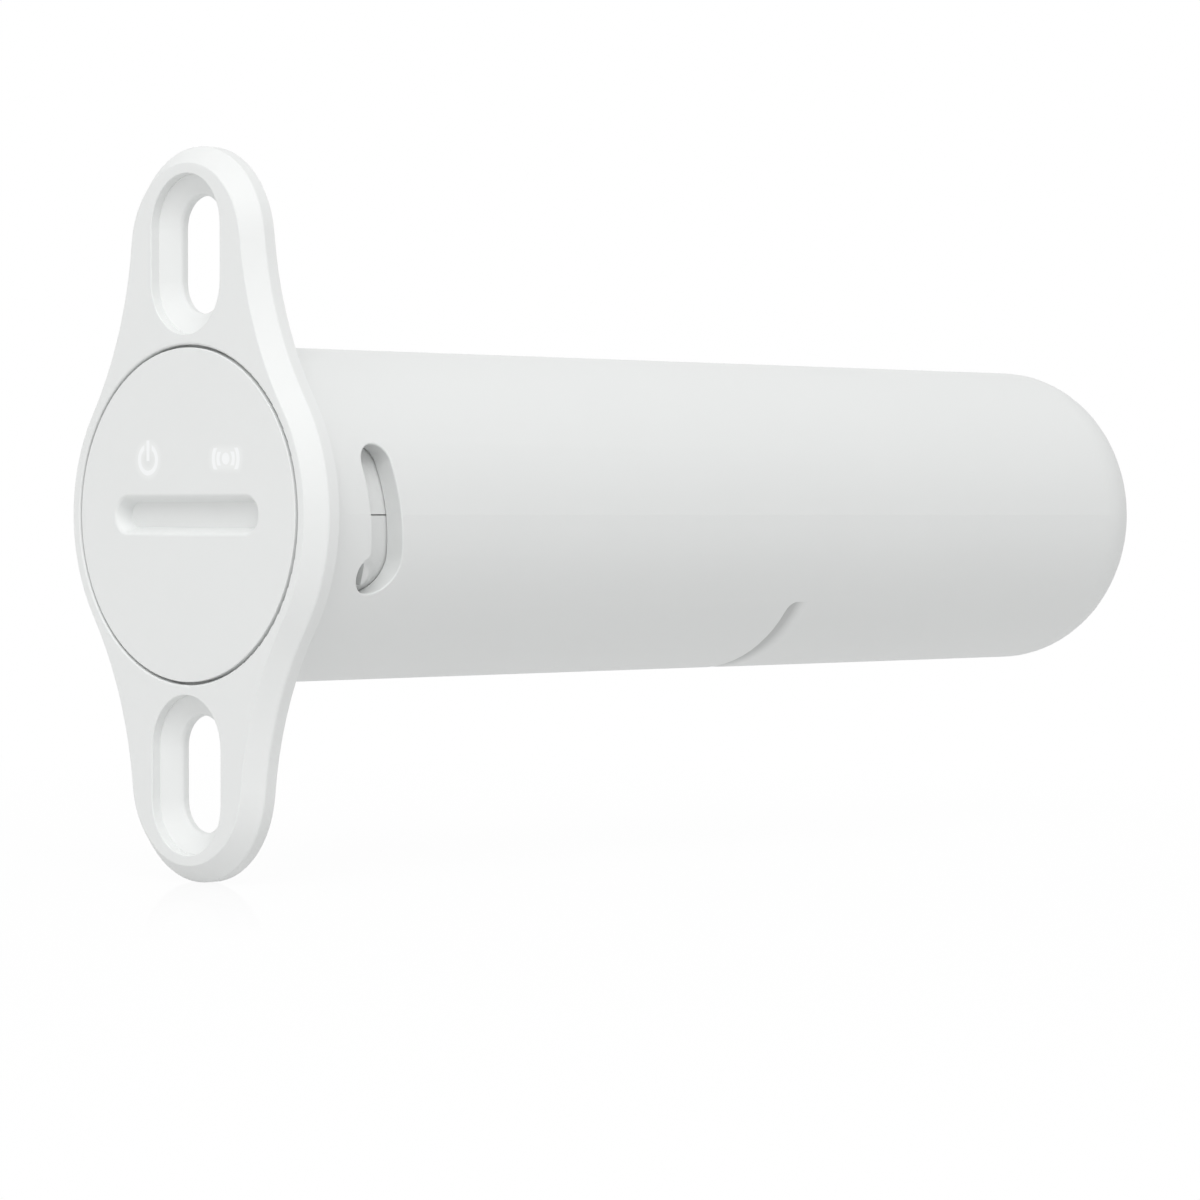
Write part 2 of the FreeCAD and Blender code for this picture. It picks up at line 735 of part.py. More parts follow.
    # Ways in for the two lugs, along the bore from the seat to the windows
    lug_drop = (S.lug_top_drop.number + S.lug_low_drop.number) / 2
    lug_middle = math.degrees(math.asin(lug_drop / lug_radius.number))
    upright = FreeCAD.Vector(0, 1, 0)
    for side, start in (("right", 0), ("left", 180)):
        way = new_sketch(body, side + "_entry_sketch", "XY_Plane")
        inside_bore = bore_radius - S.overcut
        polygon(way, [(inside_bore, depth(S.seat_depth)), (lug_radius + S.entry_clear, depth(S.seat_depth)),
                      (lug_radius + S.entry_clear, depth(S.window_hook_depth)),
                      (inside_bore, depth(S.window_hook_depth))])
        turn = FreeCAD.Rotation(upright, start + lug_middle - S.turn_range.number)
        way.AttachmentOffset = FreeCAD.Placement(FreeCAD.Vector(), turn)
        turned(body, way, "Groove", side + "_entry", S.entry_sweep, True)
    return body


# Strokes of the two light symbols, as solids that reach from the face to the light pipes' pucks
def icon_place(sign):
    return S.icon_side * sign + S.icon_shift


def ring_block(name, x, outer, inner, start, length):
    whole = cylinder(name + "_outer", outer, length, (x, start, S.icon_rise))
    hollow = cylinder(name + "_inner", inner, length, (x, start, S.icon_rise))
    return cut(name, whole, hollow)


def power_strokes(name):
    x = icon_place(-1)
    start = depth(0)
    bar_side = S.icon_stroke / 2
    ring = ring_block(name + "_ring", x, S.power_radius, S.power_radius - S.icon_stroke, start, S.icon_skin)
    gap = block(name + "_gap", (x - S.power_gap / 2, start, S.icon_rise),
                (x + S.power_gap / 2, start + S.icon_skin, S.icon_rise + S.power_radius * 2))
    open_ring = cut(name + "_open_ring", ring, gap)
    bar = block(name + "_bar", (x - bar_side, start, S.icon_rise - S.power_bar_low),
                (x + bar_side, start + S.icon_skin, S.icon_rise + S.power_bar_high))
    return fuse(name, open_ring, bar)


def wave_strokes(name):
    x = icon_place(1)
    start = depth(0)
    parts = [cylinder(name + "_dot", S.wave_dot_radius, S.icon_skin, (x, start, S.icon_rise))]
    for label, radius, half in (("inner", S.wave_inner_radius, S.wave_inner_half),
                                ("outer", S.wave_outer_radius, S.wave_outer_half)):
        ring = ring_block(name + "_" + label, x, radius, radius - S.icon_stroke, start, S.icon_skin)
        band = block(name + "_" + label + "_band", (x - radius * 2, start, S.icon_rise - half),
                     (x + radius * 2, start + S.icon_skin, S.icon_rise + half))
        parts.append(common(name + "_" + label + "_arcs", ring, band))
    return fuse(name, *parts)


# Face disc with its plug, snap tongue, seal groove, coin slot and the two lit symbols
def face_cap():
    body = new_body("face_blank")
    blank = new_sketch(body, "face_sketch", "XY_Plane")
    groove_front = S.seal_from_face - S.seal_width / 2
    groove_rear = S.seal_from_face + S.seal_width / 2
    groove_floor = shell_radius - S.seal_cut
    tongue_inner = S.tongue_radius - S.tongue_wall
    snap_front = plug_end + S.snap_from_plug
    snap_rear = snap_front + S.snap_width
    polygon(blank, [(0, depth(0)), (face_radius, depth(0)), (face_radius, depth(S.face_disc_thick)),
                    (shell_radius, depth(S.face_disc_thick)), (shell_radius, depth(groove_front)),
                    (groove_floor, depth(groove_front)), (groove_floor, depth(groove_rear)),
                    (shell_radius, depth(groove_rear)), (shell_radius, depth(plug_end)),
                    (S.tongue_radius, depth(plug_end)), (S.tongue_radius, depth(snap_front)),
                    (S.tongue_radius + S.snap_height, depth(snap_front + S.snap_width / 2)),
                    (S.tongue_radius, depth(snap_rear + S.snap_width / 2)),
                    (S.tongue_radius, depth(tongue_end)), (tongue_inner, depth(tongue_end)),
                    (tongue_inner, depth(S.face_web)), (0, depth(S.face_web))])
    turned_blank = turned(body, blank, "Revolution", "face_turned")
    front = depth(0)
    dress(body, "Fillet", "face_soft", turned_blank, S.face_round,
          lambda e: flat_at(e, front) and e.BoundBox.XLength > 1)
    coin = new_sketch(body, "coin_sketch", "XZ_Plane", S.plate_thick)
    slot(coin, 0, 0, (S.coin_length - S.coin_width) / 2, S.coin_width / 2, False)
    well = pocket(body, coin, "coin_slot", S.coin_depth, draft=-S.coin_draft)
    reach = S.coin_length.number / 2 + 0.1
    dress(body, "Fillet", "coin_soft", well, S.coin_round,
          lambda e: flat_at(e, front) and from_axis(middle_of(e)) < reach and abs(middle_of(e).z) < 2)
    tools = [power_strokes("power_cut"), wave_strokes("wave_cut")]
    for label, sign in (("power", -1), ("wave", 1)):
        tools.append(cylinder(label + "_puck_hole", S.light_radius + S.fit_gap, S.face_web,
                              (icon_place(sign), depth(S.icon_skin), S.icon_rise)))
    return cut("face_cap", body, *tools)


def light_pipe(name, strokes, sign):
    led_front = S.board_front - S.light_to_led
    puck = cylinder(name + "_puck", S.light_radius, led_front - S.icon_skin,
                    (icon_place(sign), depth(S.icon_skin), S.icon_rise))
    return fuse(name, strokes, puck)


def light_baffle():
    start = depth(S.face_web + S.fit_gap)
    plate = cylinder("baffle_plate", S.baffle_radius, S.baffle_thick, (0, start, 0))
    holes = []
    for label, sign in (("power", -1), ("wave", 1)):
        holes.append(cylinder("baffle_%s_hole" % label, S.light_radius + S.fit_gap, S.baffle_thick,
                              (icon_place(sign), start, S.icon_rise)))
    return cut("light_baffle", plate, *holes)


def face_seal():
    """The ring lies just clear of its groove's floor."""
    ring = doc.addObject("Part::Torus", "face_seal")
    floor = shell_radius - S.seal_cut
    bind(ring, Radius1=floor + S.seal_wire + S.fit_gap / 2, Radius2=S.seal_wire)
    place(ring, (0, depth(S.seal_from_face), 0), "y")
    return ring


# Cartridge shells
def shell_tube(name, start, end_inner, closed):
    """A tube with a rounded blind end, or open at both ends."""
    body = new_body(name)
    sketch = new_sketch(body, name + "_sketch", "XY_Plane")
    if closed:
        end = S.shell_depth
        polygon(sketch, [(shell_inner, depth(start)), (shell_radius, depth(start)),
                         (shell_radius, depth(end)), (0, depth(end)), (0, depth(end_inner)),
                         (shell_inner, depth(end_inner))])
    else:
        polygon(sketch, [(shell_inner, depth(start)), (shell_radius, depth(start)),
                         (shell_radius, depth(end_inner)), (shell_inner, depth(end_inner))])
    feature = turned(body, sketch, "Revolution", name + "_turned")
    if closed:
        tip = depth(S.shell_depth)
        rim = dress(body, "Fillet", name + "_tip", feature, S.shell_round,
                    lambda e: flat_at(e, tip) and e.BoundBox.XLength > 1)
        inner = depth(end_inner)
        dress(body, "Fillet", name + "_inner_tip", rim, S.shell_round - S.shell_wall,
              lambda e: flat_at(e, inner) and e.BoundBox.XLength > 1)
    return body


def half_space(name, upper, start, end):
    """The side of the parting plane that a shell keeps, less half of the parting gap."""
    wide = S.tube_radius * 2
    gap = S.parting_gap / 2
    low, high = (gap, wide) if upper else (-wide, -gap)
    return block(name, (-wide, depth(start), low), (wide, depth(end), high))


def lug(name, sign):
    """A bayonet lug on the right below the parting line, or its twin half a turn round."""
    body = new_body(name + "_blank")
    sketch = new_sketch(body, name + "_sketch", "YZ_Plane")
    flank = S.window_front + S.lug_clear
    top = (depth(flank + S.window_lead * S.lug_top_drop), -S.lug_top_drop)
    low = (depth(flank + S.window_lead * S.lug_low_drop), -S.lug_low_drop)
    run = line(sketch, vector(*top), vector(*low))
    run_back = low[0].number - top[0].number
    run_down = top[1].number - low[1].number
    half = math.hypot(run_back, run_down) / 2
    turn = math.atan2(run_back, run_down)
    back = -math.sqrt(max(S.lug_rear_radius.number ** 2 - half ** 2, 0))
    centre_y = (top[0].number + low[0].number) / 2 + back * math.cos(turn)
    centre_z = (top[1].number + low[1].number) / 2 + back * math.sin(turn)
    lean = math.degrees(turn)
    ends = 180 - math.degrees(math.acos(back / S.lug_rear_radius.number))
    nose = arc(sketch, centre_y, centre_z, S.lug_rear_radius, lean - ends, lean + ends)
    sketch.addConstraint(Sketcher.Constraint("Coincident", run, 2, nose, 1))
    sketch.addConstraint(Sketcher.Constraint("Coincident", nose, 2, run, 1))
    at_point(sketch, run, 1, *top)
    at_point(sketch, run, 2, *low)
    dimension(sketch, "Radius", nose, 0, S.lug_rear_radius)
    pad(body, sketch, name + "_pad", S.tube_radius)
    inner = cylinder(name + "_inner", shell_radius - S.shell_wall / 2, S.tube_radius, (0, depth(0), 0))
    outer = cylinder(name + "_outer", lug_radius, S.tube_radius, (0, depth(0), 0))
    ring = cut(name + "_ring", outer, inner)
    one = common(name + "_one", body, ring)
    if sign > 0:
        return one
    twin = doc.addObject("Part::Mirroring", name + "_across")
    twin.Source = one
    twin.Normal = FreeCAD.Vector(1, 0, 0)
    other = doc.addObject("Part::Mirroring", name + "_twin")
    other.Source = twin
    other.Normal = FreeCAD.Vector(0, 0, 1)
    return other


def screw_places():
    for label_x, sign in (("left", -1), ("right", 1)):
        for label_y, place_y in (("front", S.screw_front), ("rear", S.screw_rear)):
            yield label_x + "_" + label_y, S.screw_side * sign, depth(place_y)


def inside_shell(name, base):
    """What lies within the middle of the shell's wall, so that bosses never show outside."""
    limit = cylinder(name + "_limit", shell_radius - S.shell_wall / 2, S.shell_depth, (0, depth(0), 0))
    return common(name, base, limit)


def snap_groove(name):
    """The ring inside both shells that the face's snap ridge sits in."""
    start = plug_end + S.snap_from_plug - S.fit_gap
    width = S.snap_width * 1.5 + S.fit_gap * 2
    return cylinder(name, S.tongue_radius + S.snap_height + S.fit_gap, width, (0, depth(start), 0))


def upper_shell():
    start = plug_end + S.shell_lap
    tube = shell_tube("upper_tube", start, S.cover_split, False)
    half = common("upper_half", tube, half_space("upper_side", True, 0, S.shell_depth))
    columns = [cylinder("upper_boss_" + label, S.boss_radius, S.tube_radius, (x, y, S.board_top), "z")
               for label, x, y in screw_places()]
    bosses = inside_shell("upper_bosses", fuse("upper_columns", *columns))
    whole = fuse("upper_whole", half, bosses, lug("upper_lug", -1))
    tools = [snap_groove("upper_snap")]
    for label, x, y in screw_places():
        tools.append(cylinder("upper_hole_" + label, S.screw_radius + S.screw_clear, S.tube_radius,
                              (x, y, 0), "z"))
        tools.append(cylinder("upper_sink_" + label, S.screw_head_radius + S.screw_clear, S.tube_radius,
                              (x, y, S.screw_seat), "z"))
    tools.append(cylinder("reset_hole", S.reset_button_radius + S.screw_clear, S.tube_radius,
                          (0, depth(S.reset_depth), 0), "z"))
    return cut("upper_shell", whole, *tools)


def battery_cover():
    start = S.cover_split + S.shell_lap
    tube = shell_tube("cover_tube", start, shell_end_inner, True)
    return common("battery_cover", tube, half_space("cover_side", True, 0, S.shell_depth + S.overcut))


def lower_shell():
    start = plug_end + S.shell_lap
    tube = shell_tube("lower_tube", start, shell_end_inner, True)
    half = common("lower_half", tube, half_space("lower_side", False, 0, S.shell_depth + S.overcut))
    columns = [cylinder("lower_boss_" + label, S.boss_radius, S.tube_radius + board_bottom,
                        (x, y, -S.tube_radius), "z") for label, x, y in screw_places()]
    bosses = inside_shell("lower_bosses", fuse("lower_columns", *columns))
    wall = cylinder("bulkhead_wall", S.bulkhead_radius, S.bulkhead_thick, (0, depth(S.bulkhead_front), 0))
    foot = cylinder("bulkhead_foot", shell_radius - S.shell_wall / 2, S.bulkhead_thick,
                    (0, depth(S.bulkhead_front), 0))
    low_foot = common("bulkhead_low", foot, half_space("bulkhead_side", False, 0, S.shell_depth))
    whole = fuse("lower_whole", half, bosses, wall, low_foot, lug("lower_lug", 1))
    tools = [snap_groove("lower_snap")]
    for label, x, y in screw_places():
        tools.append(cylinder("lower_hole_" + label, S.screw_radius + S.fit_gap / 2, S.screw_length,
                              (x, y, S.screw_seat - S.screw_length - S.screw_clear), "z"))
    half_tab = S.contact_tab_width / 2 + S.strap_clear
    tab_low = S.board_top - S.strap_clear
    tab_high = S.board_top + S.contact_sheet + S.strap_clear
    tools.append(block("tab_way", (-half_tab, depth(S.bulkhead_front - S.overcut), tab_low),
                       (half_tab, depth(bulkhead_rear + S.overcut), tab_high)))
    half_strap = S.strap_width / 2 + S.strap_clear
    strap_front = S.board_front + S.board_length - S.strap_board_reach - S.contact_sheet - S.strap_clear
    strap_leaves = shell_end_inner - S.strap_slope + S.strap_channel + S.strap_clear
    tools.append(block("strap_way", (-half_strap, depth(strap_front), -(shell_inner + S.strap_channel)),
                       (half_strap, depth(strap_leaves), -(shell_inner - S.strap_channel))))
    return cut("lower_shell", whole, *tools)


def shell_screws():
    screws = []
    for label, x, y in screw_places():
        shank = cylinder("screw_shank_" + label, S.screw_radius, S.screw_length,
                         (x, y, S.screw_seat - S.screw_length), "z")
        head = cylinder("screw_head_" + label, S.screw_head_radius, S.screw_head_height,
                        (x, y, S.screw_seat), "z")
        half = S.cross_width / 2
        floor = S.screw_seat + S.screw_head_height - S.cross_depth
        bar_x = block("screw_slot_x_" + label, (x - S.screw_radius, y - half, floor),
                      (x + S.screw_radius, y + half, S.screw_seat + S.screw_head_height))
        bar_y = block("screw_slot_y_" + label, (x - half, y - S.screw_radius, floor),
                      (x + half, y + S.screw_radius, S.screw_seat + S.screw_head_height))
        screws.append(cut("screw_" + label, fuse("screw_blank_" + label, shank, head), bar_x, bar_y))
    group = doc.addObject("Part::Compound", "shell_screws")
    group.Links = screws
    return group


# Board and what it carries
def main_board():
    half = S.board_width / 2
    plate = block("board_plate", (-half, depth(S.board_front), board_bottom),
                  (half, depth(S.board_front + S.board_length), S.board_top))
    holes = [cylinder("board_hole_" + label, S.screw_radius + S.screw_clear, S.board_thick,
                      (x, y, board_bottom), "z") for label, x, y in screw_places()]
    return cut("main_board", plate, *holes)


def led(name, sign):
    middle = (icon_place(sign), depth(S.board_front + S.led_length / 2))
    base = centred_block(name + "_base", middle, S.led_width, S.led_length, S.board_top,
                         S.board_top + S.led_height)
    lens = cylinder(name + "_lens", S.lens_radius, S.light_to_led / 2,
                    (middle[0], depth(S.board_front - S.light_to_led / 2), S.board_top + S.led_height / 2))
    return fuse(name, base, lens)


def chip(name, width, height, place_y):
    return centred_block(name, (0, depth(place_y)), width, width, S.board_top, S.board_top + height)


def radio_shield():
    middle = (0, depth(S.radio_depth))
    outer = centred_block("shield_outer", middle, S.shield_width, S.shield_length, S.board_top,
                          S.board_top + S.shield_height)
    inner = centred_block("shield_inner", middle, S.shield_width - S.shield_sheet * 2,
                          S.shield_length - S.shield_sheet * 2, S.board_top,
                          S.board_top + S.shield_height - S.shield_sheet)
    return cut("radio_shield", outer, inner)


def supply_capacitors():
    parts = []
    for i in range(3):
        middle = (S.capacitor_step * (i - 1), depth(S.capacitor_depth))
        parts.append(centred_block("capacitor_%d" % (i + 1), middle, S.capacitor_width, S.capacitor_length,
                                   S.board_top, S.board_top + S.capacitor_height))
    group = doc.addObject("Part::Compound", "supply_capacitors")
    group.Links = parts
    return group


def reed_parts():
    centre_z = board_bottom - S.reed_drop - S.reed_radius
    tube = cylinder("reed_tube", S.reed_radius, S.reed_length, (0, depth(S.reed_front), centre_z))
    ends = rounded("reed_switch", tube, S.reed_round, lambda e: e.BoundBox.YLength < 0.001)
    wires = []
    for label, end, way in (("front", S.reed_front, -1), ("rear", S.reed_front + S.reed_length, 1)):
        far = end + S.reed_wire_run * way
        first = end if way > 0 else far
        run = cylinder("reed_run_" + label, S.reed_wire_radius, S.reed_wire_run, (0, depth(first), centre_z))
        knee = doc.addObject("Part::Sphere", "reed_knee_" + label)
        bind(knee, Radius=S.reed_wire_radius)
        place(knee, (0, depth(far), centre_z))
        rise = cylinder("reed_rise_" + label, S.reed_wire_radius, board_bottom - centre_z,
                        (0, depth(far), centre_z), "z")
        wires.append(fuse("reed_lead_" + label, run, knee, rise))
    group = doc.addObject("Part::Compound", "reed_leads")
    group.Links = wires
    return [ends, group]


def reset_parts():
    middle = (0, depth(S.reset_depth))
    base_top = S.board_top + S.reset_base_height
    travel_room = S.reset_travel + S.fit_gap
    well_floor = base_top - S.reset_actuator_stand
    base = centred_block("reset_base", middle, S.reset_base_width, S.reset_base_width, S.board_top, base_top)
    well = cylinder("reset_well", S.reset_actuator_radius + S.fit_gap, S.reset_base_height,
                    (0, middle[1], well_floor - travel_room), "z")
    switch = cut("reset_switch", base, well)
    actuator_top = base_top + S.reset_actuator_stand
    actuator = cylinder("reset_actuator", S.reset_actuator_radius, actuator_top - well_floor,
                        (0, middle[1], well_floor), "z")
    flange_low = S.reset_flange_top - S.reset_flange_thick
    stem = cylinder("reset_stem", S.reset_stem_radius, flange_low - actuator_top,
                    (0, middle[1], actuator_top), "z")
    flange = cylinder("reset_flange", S.reset_flange_radius, S.reset_flange_thick,
                      (0, middle[1], flange_low), "z")
    cap_top = shell_radius - S.reset_button_below
    cap = cylinder("reset_cap", S.reset_button_radius, cap_top - S.reset_flange_top,
                   (0, middle[1], S.reset_flange_top), "z")
    button = fuse("reset_button", stem, flange, cap)
    return [switch, actuator, button]


# Cell and its contacts
def battery_parts():
    nub_rear = S.cell_nose + S.cell_nub_height
    wrap_outer = S.cell_radius + S.wrap_gap + S.wrap_thick
    can = cylinder("cell_can", S.cell_radius, cell_end - nub_rear, (0, depth(nub_rear), 0))
    soft_can = rounded("cell_can_soft", can, S.cell_round, lambda e: e.BoundBox.YLength < 0.001)
    nub = cylinder("cell_nub", S.cell_nub_radius, S.cell_nub_height + S.overcut, (0, depth(S.cell_nose), 0))
    battery = fuse("battery_cell", soft_can, nub)
    outer = cylinder("wrap_outer", wrap_outer, cell_end - nub_rear - S.wrap_lip * 2,
                     (0, depth(nub_rear + S.wrap_lip), 0))
    inner = cylinder("wrap_inner", S.cell_radius + S.wrap_gap, cell_end - nub_rear - S.wrap_lip * 2,
                     (0, depth(nub_rear + S.wrap_lip), 0))
    return [battery, cut("battery_wrap", outer, inner)]


def positive_contact():
    half = S.contact_width / 2
    plate_front = bulkhead_rear
    plate_rear = plate_front + S.contact_sheet
    top = S.board_top + S.contact_sheet
    plate = block("contact_plate", (-half, depth(plate_front), top - S.contact_height),
                  (half, depth(plate_rear), top))
    dome = cylinder("contact_dome", S.contact_dome_radius, S.cell_nose - plate_rear,
                    (0, depth(plate_rear), 0))
    half_tab = S.contact_tab_width / 2
    tab_front = S.board_front + S.board_length - S.contact_tab_reach
    tab = block("contact_tab", (-half_tab, depth(tab_front), S.board_top), (half_tab, depth(plate_rear), top))
    return fuse("positive_contact", plate, dome, tab)


def negative_strap():
    """A strip from the board, along the lower shell and up a slope to the round plate under the spring."""
    low = -(shell_inner + S.strap_channel)
    high = low + S.contact_sheet
    board_end = S.board_front + S.board_length - S.strap_board_reach
    rear = shell_end_inner
    bend = rear - S.strap_slope
    body = new_body("strap_strip")
    board_side = depth(board_end - S.contact_sheet)
    spring_side = depth(rear - S.contact_sheet)
    sketch = new_sketch(body, "strap_sketch", "YZ_Plane")
    polygon(sketch, [(board_side, board_bottom), (board_side, low), (depth(bend), low),
                     (depth(rear), low + S.strap_slope), (depth(rear), 0), (spring_side, 0),
                     (spring_side, low + S.strap_slope + S.strap_mitre), (depth(bend - S.strap_mitre), high),
                     (depth(board_end), high), (depth(board_end), board_bottom)])
    strip = pad(body, sketch, "strap_pad", S.strap_width)
    strip.Midplane = True
    plate = cylinder("strap_plate", S.strap_plate_radius, S.contact_sheet, (0, spring_side, 0))
    return fuse("negative_strap", body, plate)


def negative_spring():
    """A conical coil whose axis is the cell's, wide at the contact plate and narrow at the cell."""
    wire = S.spring_wire.number
    base = depth(shell_end_inner - S.contact_sheet - S.spring_wire).number
    tip = depth(cell_end + S.spring_wire).number
    turns = S.spring_turns.number
    steps = int(turns * 4)
    points = []
    for i in range(steps * 2 + 1):
        share = i / (steps * 2.0)
        angle = 2 * math.pi * turns * share
        radius = S.spring_base_radius.number * (1 - share) + S.spring_tip_radius.number * share
        points.append(FreeCAD.Vector(radius * math.cos(angle), base + (tip - base) * share,
                                     radius * math.sin(angle)))
    edges = [Part.Arc(points[i], points[i + 1], points[i + 2]).toShape() for i in range(0, steps * 2, 2)]
    path = Part.Wire(edges)
    start = edges[0].tangentAt(edges[0].FirstParameter)
    section = Part.Wire([Part.Circle(points[0], start, wire).toShape()])
    coil = path.makePipeShell([section], True)
    least = (base - tip) / turns - 2 * wire
    print("negative_spring: least gap between turns %.2f mm" % least)
    thing = doc.addObject("Part::Feature", "negative_spring")
    thing.Shape = coil
    return thing


def end_pad():
    return cylinder("end_pad", S.pad_radius, S.pad_thick, (0, depth(S.shell_depth), 0))


def build():
    nodes = [mounting_sleeve(), face_cap(),
             light_pipe("power_light_pipe", power_strokes("power_raise"), -1),
             light_pipe("radio_light_pipe", wave_strokes("wave_raise"), 1),
             light_baffle(), face_seal(), upper_shell(), lower_shell(), battery_cover(), shell_screws(),
             main_board(), led("power_led", -1), led("radio_led", 1),
             chip("controller_chip", S.controller_width, S.controller_height, S.controller_depth),
             chip("radio_chip", S.radio_chip_width, S.radio_chip_height, S.radio_depth),
             radio_shield(),
             centred_block("chip_antenna", (0, depth(S.antenna_depth)), S.antenna_width, S.antenna_length,
                           S.board_top, S.board_top + S.antenna_height),
             supply_capacitors()]
    nodes += reed_parts()
    nodes += reset_parts()
    nodes += battery_parts()
    nodes += [positive_contact(), negative_strap(), negative_spring(), end_pad()]
    doc.recompute()
    return nodes


nodes = build()
for thing in doc.Objects:
    bad = [word for word in thing.State if word in ("Invalid", "Error")]
    if bad:
        sys.exit("%s is %s" % (thing.Label, bad))
os.makedirs("parts", exist_ok=True)
for node in nodes:
    shape = node.Shape
    if shape.isNull() or not shape.isValid():
        sys.exit("%s has no valid shape" % node.Label)
    if any(solid.Volume <= 0 for solid in shape.Solids) or not shape.Solids:
        sys.exit("%s has no solid" % node.Label)
    shape.exportStep("parts/%s.step" % node.Label)
    print("%-18s %d solid(s) %9.2f mm3" % (node.Label, len(shape.Solids), shape.Volume))
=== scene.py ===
import math

import bpy
from bpy.props import FloatProperty, FloatVectorProperty, PointerProperty
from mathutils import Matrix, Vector


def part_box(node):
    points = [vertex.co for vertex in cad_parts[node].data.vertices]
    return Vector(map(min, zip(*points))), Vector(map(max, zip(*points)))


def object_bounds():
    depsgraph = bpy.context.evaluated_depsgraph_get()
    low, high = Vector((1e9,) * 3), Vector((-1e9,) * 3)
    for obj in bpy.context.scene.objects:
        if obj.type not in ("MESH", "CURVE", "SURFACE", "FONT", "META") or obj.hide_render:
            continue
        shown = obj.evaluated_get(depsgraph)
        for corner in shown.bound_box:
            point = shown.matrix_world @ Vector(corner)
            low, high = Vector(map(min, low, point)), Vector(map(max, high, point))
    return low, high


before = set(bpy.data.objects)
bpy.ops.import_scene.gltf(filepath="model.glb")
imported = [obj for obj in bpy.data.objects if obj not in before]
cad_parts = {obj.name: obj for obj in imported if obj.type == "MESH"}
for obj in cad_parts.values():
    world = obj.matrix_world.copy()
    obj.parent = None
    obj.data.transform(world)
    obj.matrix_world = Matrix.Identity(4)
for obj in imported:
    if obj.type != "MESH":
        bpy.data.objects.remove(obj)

bl_info = {
    "name": "Recessed entry sensor finishes",
    "version": (1, 0, 0),
    "blender": (4, 5, 0),
    "location": "View3D > Sidebar > Entry sensor",
    "description": "Finishes the pieces of a recessed entry sensor and sets its stage",
    "category": "Object",
}

CAD_LOW, CAD_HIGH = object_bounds()
MM = 0.001
WHITE = (1.0, 1.0, 1.0, 1.0)
BLACK = (0.0, 0.0, 0.0, 1.0)
# Most values of a noise lie between these two
NOISE_LOW, NOISE_HIGH = 0.3, 0.7
# Times a place, these leave what lies across the tube, or across the board
ACROSS_TUBE = (1.0, 0.0, 1.0)
ACROSS_BOARD = (1.0, 1.0, 0.0)


# Sizes and colours that a user would change
def colour(name, description, default):
    return FloatVectorProperty(name=name, description=description, default=default,
                               subtype="COLOR", size=3, min=0.0, max=1.0)


def share(name, description, default):
    return FloatProperty(name=name, description=description, default=default,
                         subtype="FACTOR", min=0.0, max=1.0)


def length(name, description, default):
    return FloatProperty(name=name, description=description, default=default,
                         subtype="DISTANCE", unit="LENGTH", min=0.0, precision=5)


def strength(name, description, default):
    return FloatProperty(name=name, description=description, default=default, min=0.0)


def power(name, description, default):
    return FloatProperty(name=name, description=description, default=default,
                         unit="POWER", min=0.0)


class PlasticSettings(bpy.types.PropertyGroup):
    """The white mouldings and their moulded texture."""

    sleeve: colour("Sleeve", "Colour of the mounting sleeve", (0.800, 0.812, 0.806))
    face: colour("Face", "Colour of the face disc", (0.800, 0.812, 0.806))
    shell: colour("Shells", "Colour of the cartridge's shells", (0.775, 0.785, 0.780))
    symbol: colour("Symbols", "Colour of the symbols when their lights are off",
                   (0.900, 0.912, 0.915))
    button: colour("Button", "Colour of the reset button", (0.270, 0.285, 0.295))
    # Painted glow: the symbols emit light of their own, though their lights are off
    light: share("Symbol light", "Strength of the light in the symbols", 0.03)
    # Painted glow: emitted light round the symbols in the face, with no lamp behind it
    painted_halo: share("Halo", "Strength of the light that spreads in the face round the symbols", 0.045)
    # Painted shade: how much the colour in the groove under the tube is darkened, deepest darkest
    groove: share("Groove", "How much the deepest part of the groove under the tube darkens", 0.25)
    roughness: share("Roughness", "How matt the mouldings are", 0.56)
    grain: length("Grain", "Width of the spark-eroded texture's grains", 0.16 * MM)
    grain_height: length("Grain height", "Height of the texture's grains", 0.004 * MM)


class InsideSettings(bpy.types.PropertyGroup):
    """The pieces inside the cartridge."""

    board: colour("Board", "Colour of the solder mask", (0.018, 0.155, 0.070))
    track: colour("Tracks", "Colour of the mask over copper", (0.035, 0.235, 0.105))
    gold: colour("Pads", "Colour of the plated rings", (0.780, 0.560, 0.230))
    chip: colour("Chips", "Colour of the moulded chips", (0.022, 0.022, 0.024))
    lights: colour("Lights", "Colour of the two lights' bodies", (0.83, 0.79, 0.55))
    antenna: colour("Antenna", "Colour of the antenna's ceramic", (0.70, 0.74, 0.68))
    capacitor: colour("Capacitors", "Colour of the capacitors", (0.330, 0.215, 0.120))
    glass: colour("Glass", "Colour of the reed switch's capsule", (0.72, 0.86, 0.80))
    switch: colour("Switch", "Colour of the push switch's base", (0.035, 0.035, 0.036))
    plunger: colour("Plunger", "Colour of the push switch's plunger", (0.130, 0.130, 0.133))
    rubber: colour("Rubber", "Colour of the face's seal", (0.030, 0.030, 0.031))
    foam: colour("Foam", "Colour of the light baffle", (0.024, 0.024, 0.025))
    silicone: colour("Silicone", "Colour of the end pad", (0.640, 0.640, 0.610))
    can: colour("Cell", "Colour of the cell's bare metal", (0.585, 0.585, 0.575))
    wrap: colour("Cell sleeve", "Colour of the cell's shrink sleeve", (0.045, 0.060, 0.095))
    nickel: colour("Nickel", "Colour of the plated contacts and leads", (0.610, 0.590, 0.540))
    tin: colour("Tin", "Colour of the tinned can", (0.640, 0.640, 0.630))
    zinc: colour("Zinc", "Colour of the screws", (0.560, 0.570, 0.590))


